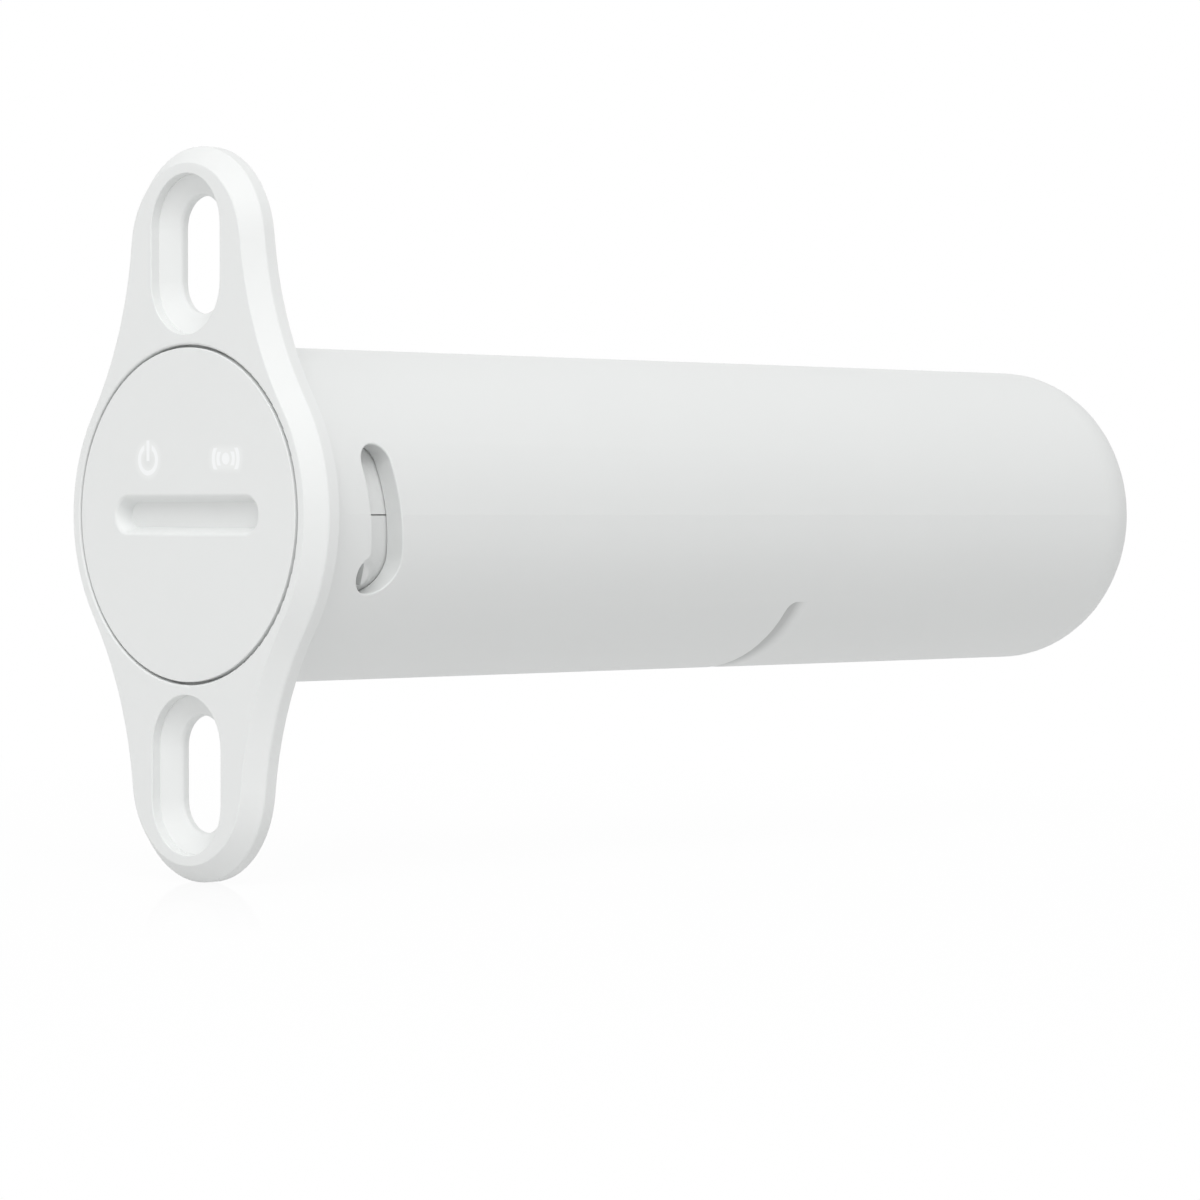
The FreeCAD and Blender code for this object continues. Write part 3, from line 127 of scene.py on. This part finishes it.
class StageSettings(bpy.types.PropertyGroup):
    """Light, floor and camera."""

    ambient: strength("Ambient", "Strength of the light from all round", 0.575)
    key_power: power("Key", "Power of the main lamp in watts", 3.23)
    top_power: power("Top", "Power of the high lamp in watts", 0.65)
    face_power: power("Face", "Power of the lamp on the face in watts", 0.84)
    table: strength("Table", "Strength of the light from below the floor", 0.75)
    gloss: share("Floor gloss", "Share of the floor's look that mirrors the object there", 0.09)
    gloss_reach: length("Gloss reach", "How far from the lower ear the mirror image fades out",
                        42.0 * MM)
    shade: share("Floor shade", "Share of the floor's look that keeps the object's shadow", 0.04)
    shade_reach: length("Shade reach", "How far from the object the shadow fades out", 160.0 * MM)
    glow: share("Floor glow", "Share of the floor that is lit from below, as on a light table",
                0.5)
    lens: FloatProperty(name="Lens", description="Focal length in millimetres", default=130.37,
                        min=1.0)


# Node trees
class Graph:
    """A node tree built one node at a time, each placed to the right of the last."""

    STEP = 190

    def __init__(self, tree):
        self.tree = tree
        self.across = 0
        tree.nodes.clear()

    def put(self, value, target):
        """Gives an input its value: an output socket is linked, anything else is set."""
        if isinstance(value, bpy.types.NodeSocket):
            self.tree.links.new(value, target)
        else:
            target.default_value = value

    def node(self, kind, inputs=None, **settings):
        made = self.tree.nodes.new(kind)
        made.location = (self.across, 0)
        self.across += self.STEP
        for name, value in settings.items():
            setattr(made, name, value)
        for name, value in (inputs or {}).items():
            self.put(value, made.inputs[name])
        return made

    def math(self, operation, first, second=0.0, third=None, clamp=False):
        inputs = {0: first, 1: second}
        if third is not None:
            inputs[2] = third
        return self.node("ShaderNodeMath", inputs, operation=operation, use_clamp=clamp).outputs[0]

    def vector(self, operation, first, second=None):
        """Vector arithmetic. A length and a distance come out as a plain value."""
        inputs = {0: first}
        if second is not None:
            inputs[1] = second
        made = self.node("ShaderNodeVectorMath", inputs, operation=operation)
        return made.outputs["Value" if operation in ("LENGTH", "DISTANCE") else "Vector"]

    def part(self, vector, letter):
        """The X, Y or Z of a vector."""
        return self.node("ShaderNodeSeparateXYZ", {0: vector}).outputs[letter]

    def remap(self, value, low, high, to_low=0.0, to_high=1.0):
        made = self.node("ShaderNodeMapRange", {"Value": value, "From Min": low, "From Max": high,
                                                "To Min": to_low, "To Max": to_high})
        return made.outputs["Result"]

    def mix(self, factor, first, second):
        """Mixes two colours. The node has a set of sockets for each kind of data."""
        made = self.node("ShaderNodeMix", data_type="RGBA", blend_type="MIX")
        for number, value in ((0, factor), (6, first), (7, second)):
            self.put(value, made.inputs[number])
        return made.outputs[2]

    def noise(self, vector, scale, detail=2.0, roughness=0.5):
        made = self.node("ShaderNodeTexNoise", {"Vector": vector, "Scale": scale,
                                                "Detail": detail, "Roughness": roughness})
        return made.outputs["Fac"]


def rgba(value):
    return (value[0], value[1], value[2], 1.0)


def effect(name, *amounts):
    """A new node group that dresses a surface, as its graph and the sockets given to it."""
    tree = bpy.data.node_groups.new(name, "ShaderNodeTree")
    given = [("Vector", "NodeSocketVector"), ("Color", "NodeSocketColor"),
             ("Roughness", "NodeSocketFloat")]
    given += [(amount, "NodeSocketFloat") for amount in amounts]
    for label, kind in given:
        tree.interface.new_socket(name=label, in_out="INPUT", socket_type=kind)
    for label, kind in (("Color", "NodeSocketColor"), ("Roughness", "NodeSocketFloat"),
                        ("Height", "NodeSocketFloat")):
        tree.interface.new_socket(name=label, in_out="OUTPUT", socket_type=kind)
    graph = Graph(tree)
    return graph, graph.node("NodeGroupInput").outputs


def moulded_skin():
    """A fine spark-eroded texture with faint clouds in its colour, as on injection mouldings."""
    tree = bpy.data.node_groups.get("moulded_skin")
    if tree:
        return tree
    cloud_scale = 90.0
    rough_spread = 0.04
    graph, given = effect("moulded_skin", "Grain Scale", "Cloudiness")
    grain = graph.noise(given["Vector"], given["Grain Scale"], detail=3.0, roughness=0.6)
    cloud = graph.noise(given["Vector"], cloud_scale)
    centred = graph.math("SUBTRACT", cloud, 0.5)
    tone = graph.math("MULTIPLY_ADD", centred, given["Cloudiness"], 1.0)
    toned = graph.node("ShaderNodeVectorMath", {0: given["Color"], "Scale": tone},
                       operation="SCALE")
    spread = graph.remap(grain, NOISE_LOW, NOISE_HIGH, -rough_spread, rough_spread)
    rough = graph.math("ADD", given["Roughness"], spread, clamp=True)
    graph.node("NodeGroupOutput", {"Color": toned.outputs["Vector"], "Roughness": rough,
                                   "Height": grain})
    return graph.tree


def plated_metal():
    """Drawn or stamped metal: long faint streaks, dull spots, and a height for its bump."""
    tree = bpy.data.node_groups.get("plated_metal")
    if tree:
        return tree
    streak_stretch = (1.0, 0.04, 1.0)
    spot_scale = 700.0
    spot_low, spot_high = 0.5, 0.75
    spot_tone = (0.30, 0.29, 0.27, 1.0)
    rough_spread = 0.08
    graph, given = effect("plated_metal", "Streak Scale", "Spots")
    along = graph.node("ShaderNodeMapping", {"Vector": given["Vector"], "Scale": streak_stretch})
    streak = graph.noise(along.outputs["Vector"], given["Streak Scale"], detail=3.0,
                         roughness=0.6)
    spot = graph.noise(given["Vector"], spot_scale, detail=3.0, roughness=0.6)
    amount = graph.math("MULTIPLY", graph.remap(spot, spot_low, spot_high), given["Spots"])
    darker = graph.mix(amount, given["Color"], spot_tone)
    spread = graph.remap(streak, NOISE_LOW, NOISE_HIGH, -rough_spread, rough_spread)
    rougher = graph.math("ADD", given["Roughness"], spread)
    rough = graph.math("ADD", rougher, amount, clamp=True)
    graph.node("NodeGroupOutput", {"Color": darker, "Roughness": rough, "Height": streak})
    return graph.tree


def new_material(name):
    """A material, its graph, and the place of each point in the object's own coordinates."""
    made = bpy.data.materials.new(name)
    made.use_nodes = True
    graph = Graph(made.node_tree)
    return made, graph, graph.node("ShaderNodeTexCoord").outputs["Object"]


def shaded(graph, tone, rough, height, height_depth, glow=None, **constants):
    """Ends a material in one Principled BSDF. Constants stay on the shader's own sockets."""
    shader = graph.node("ShaderNodeBsdfPrincipled", {"Base Color": tone, "Roughness": rough})
    # A glow is painted light: emission with no lamp behind it
    if glow is not None:
        graph.put(glow, shader.inputs["Emission Color"])
        graph.put(1.0, shader.inputs["Emission Strength"])
    for name, value in constants.items():
        graph.put(value, shader.inputs[name.replace("_", " ")])
    bump = graph.node("ShaderNodeBump", {"Height": height, "Strength": 1.0,
                                         "Distance": height_depth})
    graph.put(bump.outputs["Normal"], shader.inputs["Normal"])
    graph.node("ShaderNodeOutputMaterial", {"Surface": shader.outputs["BSDF"]})
    return shader


def plastic(name, tone, roughness, grain, grain_height, cloudiness=0.02, glow=None, tint=None,
            **constants):
    """A moulded material. A glow and a painted shade are functions that add the nodes for them:
    the glow is painted light, the shade darkens the colour.
    """
    made, graph, place = new_material(name)
    skin = graph.node("ShaderNodeGroup", {"Vector": place, "Color": rgba(tone),
                                          "Roughness": roughness, "Grain Scale": 1.0 / grain,
                                          "Cloudiness": cloudiness}, node_tree=moulded_skin())
    tone = skin.outputs["Color"]
    # Painted shade: the given function darkens the colour here
    if tint:
        tone = tint(graph, place, tone)
    shaded(graph, tone, skin.outputs["Roughness"], skin.outputs["Height"], grain_height,
           glow(graph, place) if glow else None, **constants)
    return made


def white_plastic(name, tone, **more):
    """A moulded material with the texture that all the white mouldings share."""
    plastics = bpy.context.scene.sensor_plastic
    return plastic(name, tone, plastics.roughness, plastics.grain, plastics.grain_height, **more)


def metal(name, tone, roughness, streak, spots):
    made, graph, place = new_material(name)
    streak_height = 0.004 * MM
    skin = graph.node("ShaderNodeGroup", {"Vector": place, "Color": rgba(tone),
                                          "Roughness": roughness, "Streak Scale": 1.0 / streak,
                                          "Spots": spots}, node_tree=plated_metal())
    shaded(graph, skin.outputs["Color"], skin.outputs["Roughness"], skin.outputs["Height"],
           streak_height, Metallic=1.0)
    return made


def coat(material, *names):
    """Gives a material to CAD nodes."""
    for name in names:
        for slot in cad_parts[name].material_slots:
            slot.material = material


# Pieces
class SENSOR_OT_sleeve(bpy.types.Operator):
    """Finish the mounting sleeve: flange, tube, window and groove, with painted shade in the
    groove
    """

    bl_idname = "entry_sensor.sleeve"
    bl_label = "Mounting sleeve"

    TUBE_RADIUS = 12.0 * MM
    GROOVE_FRONT = 49.8 * MM
    GROOVE_REAR = 51.75 * MM
    # Depths below the tube's surface where the painted shade is full, and where it starts
    GROOVE_DEEP = 0.25 * MM
    GROOVE_EDGE = 0.02 * MM

    def execute(self, context):
        plastics = context.scene.sensor_plastic
        coat(white_plastic("sleeve_plastic", plastics.sleeve, tint=self.painted_groove_shade),
             "mounting_sleeve")
        return {"FINISHED"}

    def painted_groove_shade(self, graph, place, tone):
        """Painted shade: darkens the colour in the shallow groove under the tube with its depth.
        """
        along = graph.part(place, "Y")
        out = graph.vector("LENGTH", graph.vector("MULTIPLY", place, ACROSS_TUBE))
        depth_shade = graph.remap(out, self.TUBE_RADIUS - self.GROOVE_DEEP,
                           self.TUBE_RADIUS - self.GROOVE_EDGE,
                           bpy.context.scene.sensor_plastic.groove, 0.0)
        behind = graph.math("GREATER_THAN", along, self.GROOVE_FRONT)
        before = graph.math("LESS_THAN", along, self.GROOVE_REAR)
        within = graph.math("MULTIPLY", behind, before)
        return graph.mix(graph.math("MULTIPLY", within, depth_shade), tone, BLACK)


class SENSOR_OT_face(bpy.types.Operator):
    """Finish the face disc, with a painted glow round the two symbols"""

    bl_idname = "entry_sensor.face"
    bl_label = "Face disc"

    # Radius of the ring, half the waves' width and height, and half a stroke's width
    POWER_RING = 0.955 * MM
    WAVE_WIDE = 1.5 * MM
    WAVE_HIGH = 0.6 * MM
    STROKE = 0.16 * MM
    # How far the painted glow reaches past a symbol
    SPREAD = 0.45 * MM

    def execute(self, context):
        plastics = context.scene.sensor_plastic
        coat(white_plastic("face_plastic", plastics.face, glow=self.painted_glow_round_symbols),
             "face_cap")
        return {"FINISHED"}

    def painted_glow_round_symbols(self, graph, place):
        # Painted glow: a halo of emitted light round the power ring and the radio waves
        painted_halo = bpy.context.scene.sensor_plastic.painted_halo
        from_power = graph.vector("LENGTH", self.from_symbol(graph, place, "power_light_pipe"))
        off_ring = graph.math("ABSOLUTE", graph.math("SUBTRACT", from_power, self.POWER_RING))
        ring = self.fading(graph, off_ring, self.STROKE)
        off_wave = self.from_symbol(graph, place, "radio_light_pipe")
        across = self.fading(graph, graph.vector("LENGTH", off_wave), self.WAVE_WIDE)
        rise = graph.math("ABSOLUTE", graph.part(off_wave, "Z"))
        upright = self.fading(graph, rise, self.WAVE_HIGH)
        found = graph.math("MAXIMUM", ring, graph.math("MULTIPLY", across, upright))
        return graph.mix(found, BLACK, (painted_halo, painted_halo, painted_halo, 1.0))

    def from_symbol(self, graph, place, name):
        """The way from a symbol's middle to a point, across the tube."""
        low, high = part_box(name)
        middle = (low + high) / 2
        flat = graph.vector("MULTIPLY", place, ACROSS_TUBE)
        return graph.vector("SUBTRACT", flat, (middle.x, 0.0, middle.z))

    def fading(self, graph, away, edge):
        """One up to the symbol's edge, and nothing where its painted glow ends."""
        return graph.remap(away, edge, edge + self.SPREAD, 1.0, 0.0)


class SENSOR_OT_symbols(bpy.types.Operator):
    """Finish the two translucent symbols, with a painted glow in them"""

    bl_idname = "entry_sensor.symbols"
    bl_label = "Lit symbols"

    def execute(self, context):
        plastics = context.scene.sensor_plastic
        # Painted glow: the symbols emit a faint white light with no lamp behind them
        material = plastic("symbol_plastic", plastics.symbol, roughness=0.42,
                           grain=plastics.grain, grain_height=plastics.grain_height / 2,
                           Emission_Color=WHITE, Emission_Strength=plastics.light)
        coat(material, "power_light_pipe", "radio_light_pipe")
        return {"FINISHED"}


class SENSOR_OT_shells(bpy.types.Operator):
    """Finish the cartridge's shells and the reset button"""

    bl_idname = "entry_sensor.shells"
    bl_label = "Cartridge shells"

    def execute(self, context):
        plastics = context.scene.sensor_plastic
        coat(white_plastic("shell_plastic", plastics.shell),
             "upper_shell", "lower_shell", "battery_cover")
        coat(plastic("button_plastic", plastics.button, roughness=0.5, grain=plastics.grain,
                     grain_height=plastics.grain_height), "reset_button")
        return {"FINISHED"}


class SENSOR_OT_soft(bpy.types.Operator):
    """Finish the seal, the light baffle and the end pad"""

    bl_idname = "entry_sensor.soft"
    bl_label = "Seal, baffle and pad"

    def execute(self, context):
        inside = context.scene.sensor_inside
        coat(plastic("seal_rubber", inside.rubber, roughness=0.62, grain=0.25 * MM,
                     grain_height=0.006 * MM), "face_seal")
        coat(plastic("baffle_foam", inside.foam, roughness=0.92, grain=0.45 * MM,
                     grain_height=0.12 * MM, cloudiness=0.3), "light_baffle")
        coat(plastic("pad_silicone", inside.silicone, roughness=0.48, grain=0.30 * MM,
                     grain_height=0.004 * MM, Subsurface_Weight=0.25,
                     Subsurface_Scale=1.0 * MM), "end_pad")
        return {"FINISHED"}


class SENSOR_OT_board(bpy.types.Operator):
    """Finish the circuit board: mask, tracks and plated rings round its screw holes"""

    bl_idname = "entry_sensor.board"
    bl_label = "Circuit board"

    RING = 1.75 * MM
    SCREW_HEAD = 1.4 * MM
    TRACK_SCALE = 420.0
    TRACK_WIDTH = 0.09
    TRACK_HEIGHT = 0.02 * MM
    # Tracks show only in patches, where a coarse noise is above these values
    PATCH_SCALE = 260.0
    PATCH_LOW, PATCH_HIGH = 0.46, 0.50
    GRAIN_SCALE = 5000.0
    GRAIN_SHARE = 0.1
    ROUGH_LOW, ROUGH_HIGH = 0.28, 0.38

    def execute(self, context):
        inside = context.scene.sensor_inside
        made, graph, place = new_material("board_laminate")
        on_track = self.tracks(graph, place)
        masked = graph.mix(on_track, rgba(inside.board), rgba(inside.track))
        ring = self.rings(graph, place)
        tone = graph.mix(ring, masked, rgba(inside.gold))
        grain = graph.noise(place, self.GRAIN_SCALE)
        rough = graph.remap(grain, NOISE_LOW, NOISE_HIGH, self.ROUGH_LOW, self.ROUGH_HIGH)
        height = graph.math("ADD", on_track, graph.math("MULTIPLY", grain, self.GRAIN_SHARE))
        shader = shaded(graph, tone, rough, height, self.TRACK_HEIGHT)
        graph.put(ring, shader.inputs["Metallic"])
        coat(made, "main_board")
        return {"FINISHED"}

    def tracks(self, graph, place):
        """A mask that is one on the tracks: the mortar between rows of bricks, in patches."""
        rows = graph.node("ShaderNodeTexBrick", {"Vector": place, "Scale": self.TRACK_SCALE,
                                                 "Mortar Size": self.TRACK_WIDTH,
                                                 "Mortar Smooth": 0.0, "Color1": BLACK,
                                                 "Color2": BLACK, "Mortar": WHITE})
        coarse = graph.noise(place, self.PATCH_SCALE, detail=1.0)
        patch = graph.remap(coarse, self.PATCH_LOW, self.PATCH_HIGH)
        return graph.math("MULTIPLY", rows.outputs["Color"], patch, clamp=True)

    def rings(self, graph, place):
        """A mask that is one round each screw hole."""
        low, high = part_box("shell_screws")
        found = None
        for x in (low.x + self.SCREW_HEAD, high.x - self.SCREW_HEAD):
            for y in (low.y + self.SCREW_HEAD, high.y - self.SCREW_HEAD):
                flat = graph.vector("MULTIPLY", place, ACROSS_BOARD)
                away = graph.vector("DISTANCE", flat, (x, y, 0.0))
                near = graph.math("LESS_THAN", away, self.RING)
                found = near if found is None else graph.math("MAXIMUM", found, near)
        return found


class SENSOR_OT_components(bpy.types.Operator):
    """Finish the chips, lights, can, antenna, capacitors, reed switch and push switch"""

    bl_idname = "entry_sensor.components"
    bl_label = "Components"

    def execute(self, context):
        inside = context.scene.sensor_inside
        coat(plastic("chip_resin", inside.chip, roughness=0.5, grain=0.10 * MM,
                     grain_height=0.006 * MM, cloudiness=0.2), "controller_chip", "radio_chip")
        coat(plastic("led_body", inside.lights, roughness=0.25, grain=0.10 * MM,
                     grain_height=0.001 * MM), "power_led", "radio_led")
        coat(metal("shield_tin", inside.tin, roughness=0.32, streak=0.25 * MM, spots=0.25),
             "radio_shield")
        coat(plastic("antenna_ceramic", inside.antenna, roughness=0.35, grain=0.20 * MM,
                     grain_height=0.002 * MM), "chip_antenna")
        coat(plastic("capacitor_ceramic", inside.capacitor, roughness=0.45, grain=0.15 * MM,
                     grain_height=0.003 * MM, cloudiness=0.1), "supply_capacitors")
        coat(plastic("reed_glass", inside.glass, roughness=0.04, grain=0.5 * MM,
                     grain_height=0.0005 * MM, Transmission_Weight=0.92, IOR=1.5),
             "reed_switch")
        coat(plastic("switch_base", inside.switch, roughness=0.5, grain=0.12 * MM,
                     grain_height=0.005 * MM), "reset_switch")
        coat(plastic("switch_plunger", inside.plunger, roughness=0.45, grain=0.12 * MM,
                     grain_height=0.004 * MM), "reset_actuator")
        return {"FINISHED"}


class SENSOR_OT_metalwork(bpy.types.Operator):
    """Finish the screws, contacts, spring and leads"""

    bl_idname = "entry_sensor.metalwork"
    bl_label = "Screws and contacts"

    def execute(self, context):
        inside = context.scene.sensor_inside
        coat(metal("screw_zinc", inside.zinc, roughness=0.34, streak=0.12 * MM, spots=0.30),
             "shell_screws")
        coat(metal("contact_nickel", inside.nickel, roughness=0.26, streak=0.20 * MM,
                   spots=0.12),
             "positive_contact", "negative_strap", "negative_spring", "reed_leads")
        return {"FINISHED"}


class SENSOR_OT_cell(bpy.types.Operator):
    """Finish the battery cell and its plain shrink sleeve"""

    bl_idname = "entry_sensor.cell"
    bl_label = "Battery cell"

    def execute(self, context):
        inside = context.scene.sensor_inside
        coat(metal("cell_can", inside.can, roughness=0.30, streak=0.40 * MM, spots=0.10),
             "battery_cell")
        coat(plastic("cell_wrap", inside.wrap, roughness=0.24, grain=0.8 * MM,
                     grain_height=0.006 * MM, cloudiness=0.12, Coat_Weight=0.3),
             "battery_wrap")
        return {"FINISHED"}


# Stage
def lamp(name, place, target, width, energy):
    data = bpy.data.lights.new(name, "AREA")
    data.shape = "DISK"
    data.size = width
    data.energy = energy
    made = bpy.data.objects.new(name, data)
    bpy.context.scene.collection.objects.link(made)
    made.location = place
    made.rotation_euler = (target - place).to_track_quat("-Z", "Y").to_euler()


def round_the_object(azimuth, elevation, distance):
    """A way out from the object: azimuth 0 is in front of its face and 90 on the +X side."""
    turn = math.radians(azimuth)
    rise = math.radians(elevation)
    return Vector((math.sin(turn) * math.cos(rise), -math.cos(turn) * math.cos(rise),
                   math.sin(rise))) * distance


def seen_directly(graph):
    """One for camera, glossy and transmitted rays, and nothing for those that light surfaces."""
    path = graph.node("ShaderNodeLightPath")
    first = graph.math("MAXIMUM", path.outputs["Is Camera Ray"], path.outputs["Is Glossy Ray"])
    return graph.math("MAXIMUM", first, path.outputs["Is Transmission Ray"])


class SENSOR_OT_stage(bpy.types.Operator):
    """Set the white background, the floor, the lamps and the camera"""

    bl_idname = "entry_sensor.stage"
    bl_label = "Stage"

    FLOOR_WIDTH = 3.0
    FLOOR_TONE = (0.82, 0.82, 0.82, 1.0)
    MIRROR_ROUGHNESS = 0.02
    LAMP_REACH = 0.9
    LAMP_WIDTH = 0.6
    # Name, azimuth, elevation, and the setting that holds the power
    LAMPS = (("key_lamp", 45, 45, "key_power"), ("top_lamp", 45, 70, "top_power"),
             ("face_lamp", 0, 25, "face_power"))
    CAMERA_PLACE = (0.2373, -0.19695, -0.0001)
    CAMERA_TILT = 88.897
    CAMERA_TURN = 45.168
    FILM_WIDTH = 36.0
    CLIP_START = 0.01

    def execute(self, context):
        settings = context.scene.sensor_stage
        self.world(context.scene, settings)
        self.floor(settings)
        target = (CAD_LOW + CAD_HIGH) / 2
        for name, azimuth, elevation, setting in self.LAMPS:
            place = target + round_the_object(azimuth, elevation, self.LAMP_REACH)
            lamp(name, place, target, self.LAMP_WIDTH, getattr(settings, setting))
        self.camera(context.scene, settings)
        context.scene.view_settings.view_transform = "Standard"
        return {"FINISHED"}

    def world(self, scene, settings):
        world = bpy.data.worlds.new("white_studio")
        world.use_nodes = True
        graph = Graph(world.node_tree)
        level = graph.remap(seen_directly(graph), 0.0, 1.0, settings.ambient, 1.0)
        sky = graph.node("ShaderNodeBackground", {"Color": WHITE, "Strength": level})
        graph.node("ShaderNodeOutputWorld", {"Surface": sky.outputs["Background"]})
        scene.world = world

    def floor(self, settings):
        """Surfaces get its real light. Seen directly it is white, with a mirror and a shadow."""
        bpy.ops.object.select_all(action="DESELECT")
        bpy.ops.mesh.primitive_plane_add(size=self.FLOOR_WIDTH, location=(0.0, 0.0, CAD_LOW.z))
        floor = bpy.context.object
        floor.name = "floor"
        made, graph, place = new_material("floor_white")
        away = graph.vector("LENGTH", place)
        gloss = graph.remap(away, 0.0, settings.gloss_reach, settings.gloss, 0.0)
        shade = graph.remap(away, 0.0, settings.shade_reach, settings.shade, 0.0)
        lit = graph.node("ShaderNodeBsdfDiffuse", {"Color": self.FLOOR_TONE}).outputs[0]
        table = self.emission(graph, settings.table)
        lighting = self.blend(graph, settings.glow, lit, table)
        mirror = graph.node("ShaderNodeBsdfGlossy", {"Color": WHITE,
                                                     "Roughness": self.MIRROR_ROUGHNESS})
        shown = self.blend(graph, gloss, self.emission(graph, 1.0), mirror.outputs[0])
        shadowed = self.blend(graph, shade, shown, lit)
        surface = self.blend(graph, seen_directly(graph), lighting, shadowed)
        graph.node("ShaderNodeOutputMaterial", {"Surface": surface})
        floor.data.materials.append(made)

    def emission(self, graph, level):
        return graph.node("ShaderNodeEmission", {"Color": WHITE, "Strength": level}).outputs[0]

    def blend(self, graph, factor, first, second):
        """Mixes two shaders."""
        return graph.node("ShaderNodeMixShader", {0: factor, 1: first, 2: second}).outputs[0]

    def camera(self, scene, settings):
        data = bpy.data.cameras.new("photograph")
        data.sensor_width = self.FILM_WIDTH
        data.lens = settings.lens
        data.clip_start = self.CLIP_START
        made = bpy.data.objects.new("photograph", data)
        scene.collection.objects.link(made)
        made.location = self.CAMERA_PLACE
        made.rotation_euler = (math.radians(self.CAMERA_TILT), 0.0,
                               math.radians(self.CAMERA_TURN))
        scene.camera = made


PIECES = (SENSOR_OT_sleeve, SENSOR_OT_face, SENSOR_OT_symbols, SENSOR_OT_shells, SENSOR_OT_soft,
          SENSOR_OT_board, SENSOR_OT_components, SENSOR_OT_metalwork, SENSOR_OT_cell,
          SENSOR_OT_stage)
SETTINGS = {"sensor_plastic": PlasticSettings, "sensor_inside": InsideSettings,
            "sensor_stage": StageSettings}


class SENSOR_PT_panel(bpy.types.Panel):
    """Lists the pieces and their settings"""

    bl_label = "Entry sensor"
    bl_idname = "SENSOR_PT_panel"
    bl_space_type = "VIEW_3D"
    bl_region_type = "UI"
    bl_category = "Entry sensor"

    def draw(self, context):
        for name, group in SETTINGS.items():
            box = self.layout.box()
            for setting in group.__annotations__:
                box.prop(getattr(context.scene, name), setting)
        for piece in PIECES:
            self.layout.operator(piece.bl_idname)


def register():
    for group in SETTINGS.values():
        bpy.utils.register_class(group)
    for piece in PIECES:
        bpy.utils.register_class(piece)
    bpy.utils.register_class(SENSOR_PT_panel)
    for name, group in SETTINGS.items():
        setattr(bpy.types.Scene, name, PointerProperty(type=group))


def unregister():
    for name in SETTINGS:
        delattr(bpy.types.Scene, name)
    bpy.utils.unregister_class(SENSOR_PT_panel)
    for piece in reversed(PIECES):
        bpy.utils.unregister_class(piece)
    for group in SETTINGS.values():
        bpy.utils.unregister_class(group)


def main():
    register()
    bpy.ops.entry_sensor.sleeve()
    bpy.ops.entry_sensor.face()
    bpy.ops.entry_sensor.symbols()
    bpy.ops.entry_sensor.shells()
    bpy.ops.entry_sensor.soft()
    bpy.ops.entry_sensor.board()
    bpy.ops.entry_sensor.components()
    bpy.ops.entry_sensor.metalwork()
    bpy.ops.entry_sensor.cell()
    bpy.ops.entry_sensor.stage()


if __name__ == "__main__":
    main()
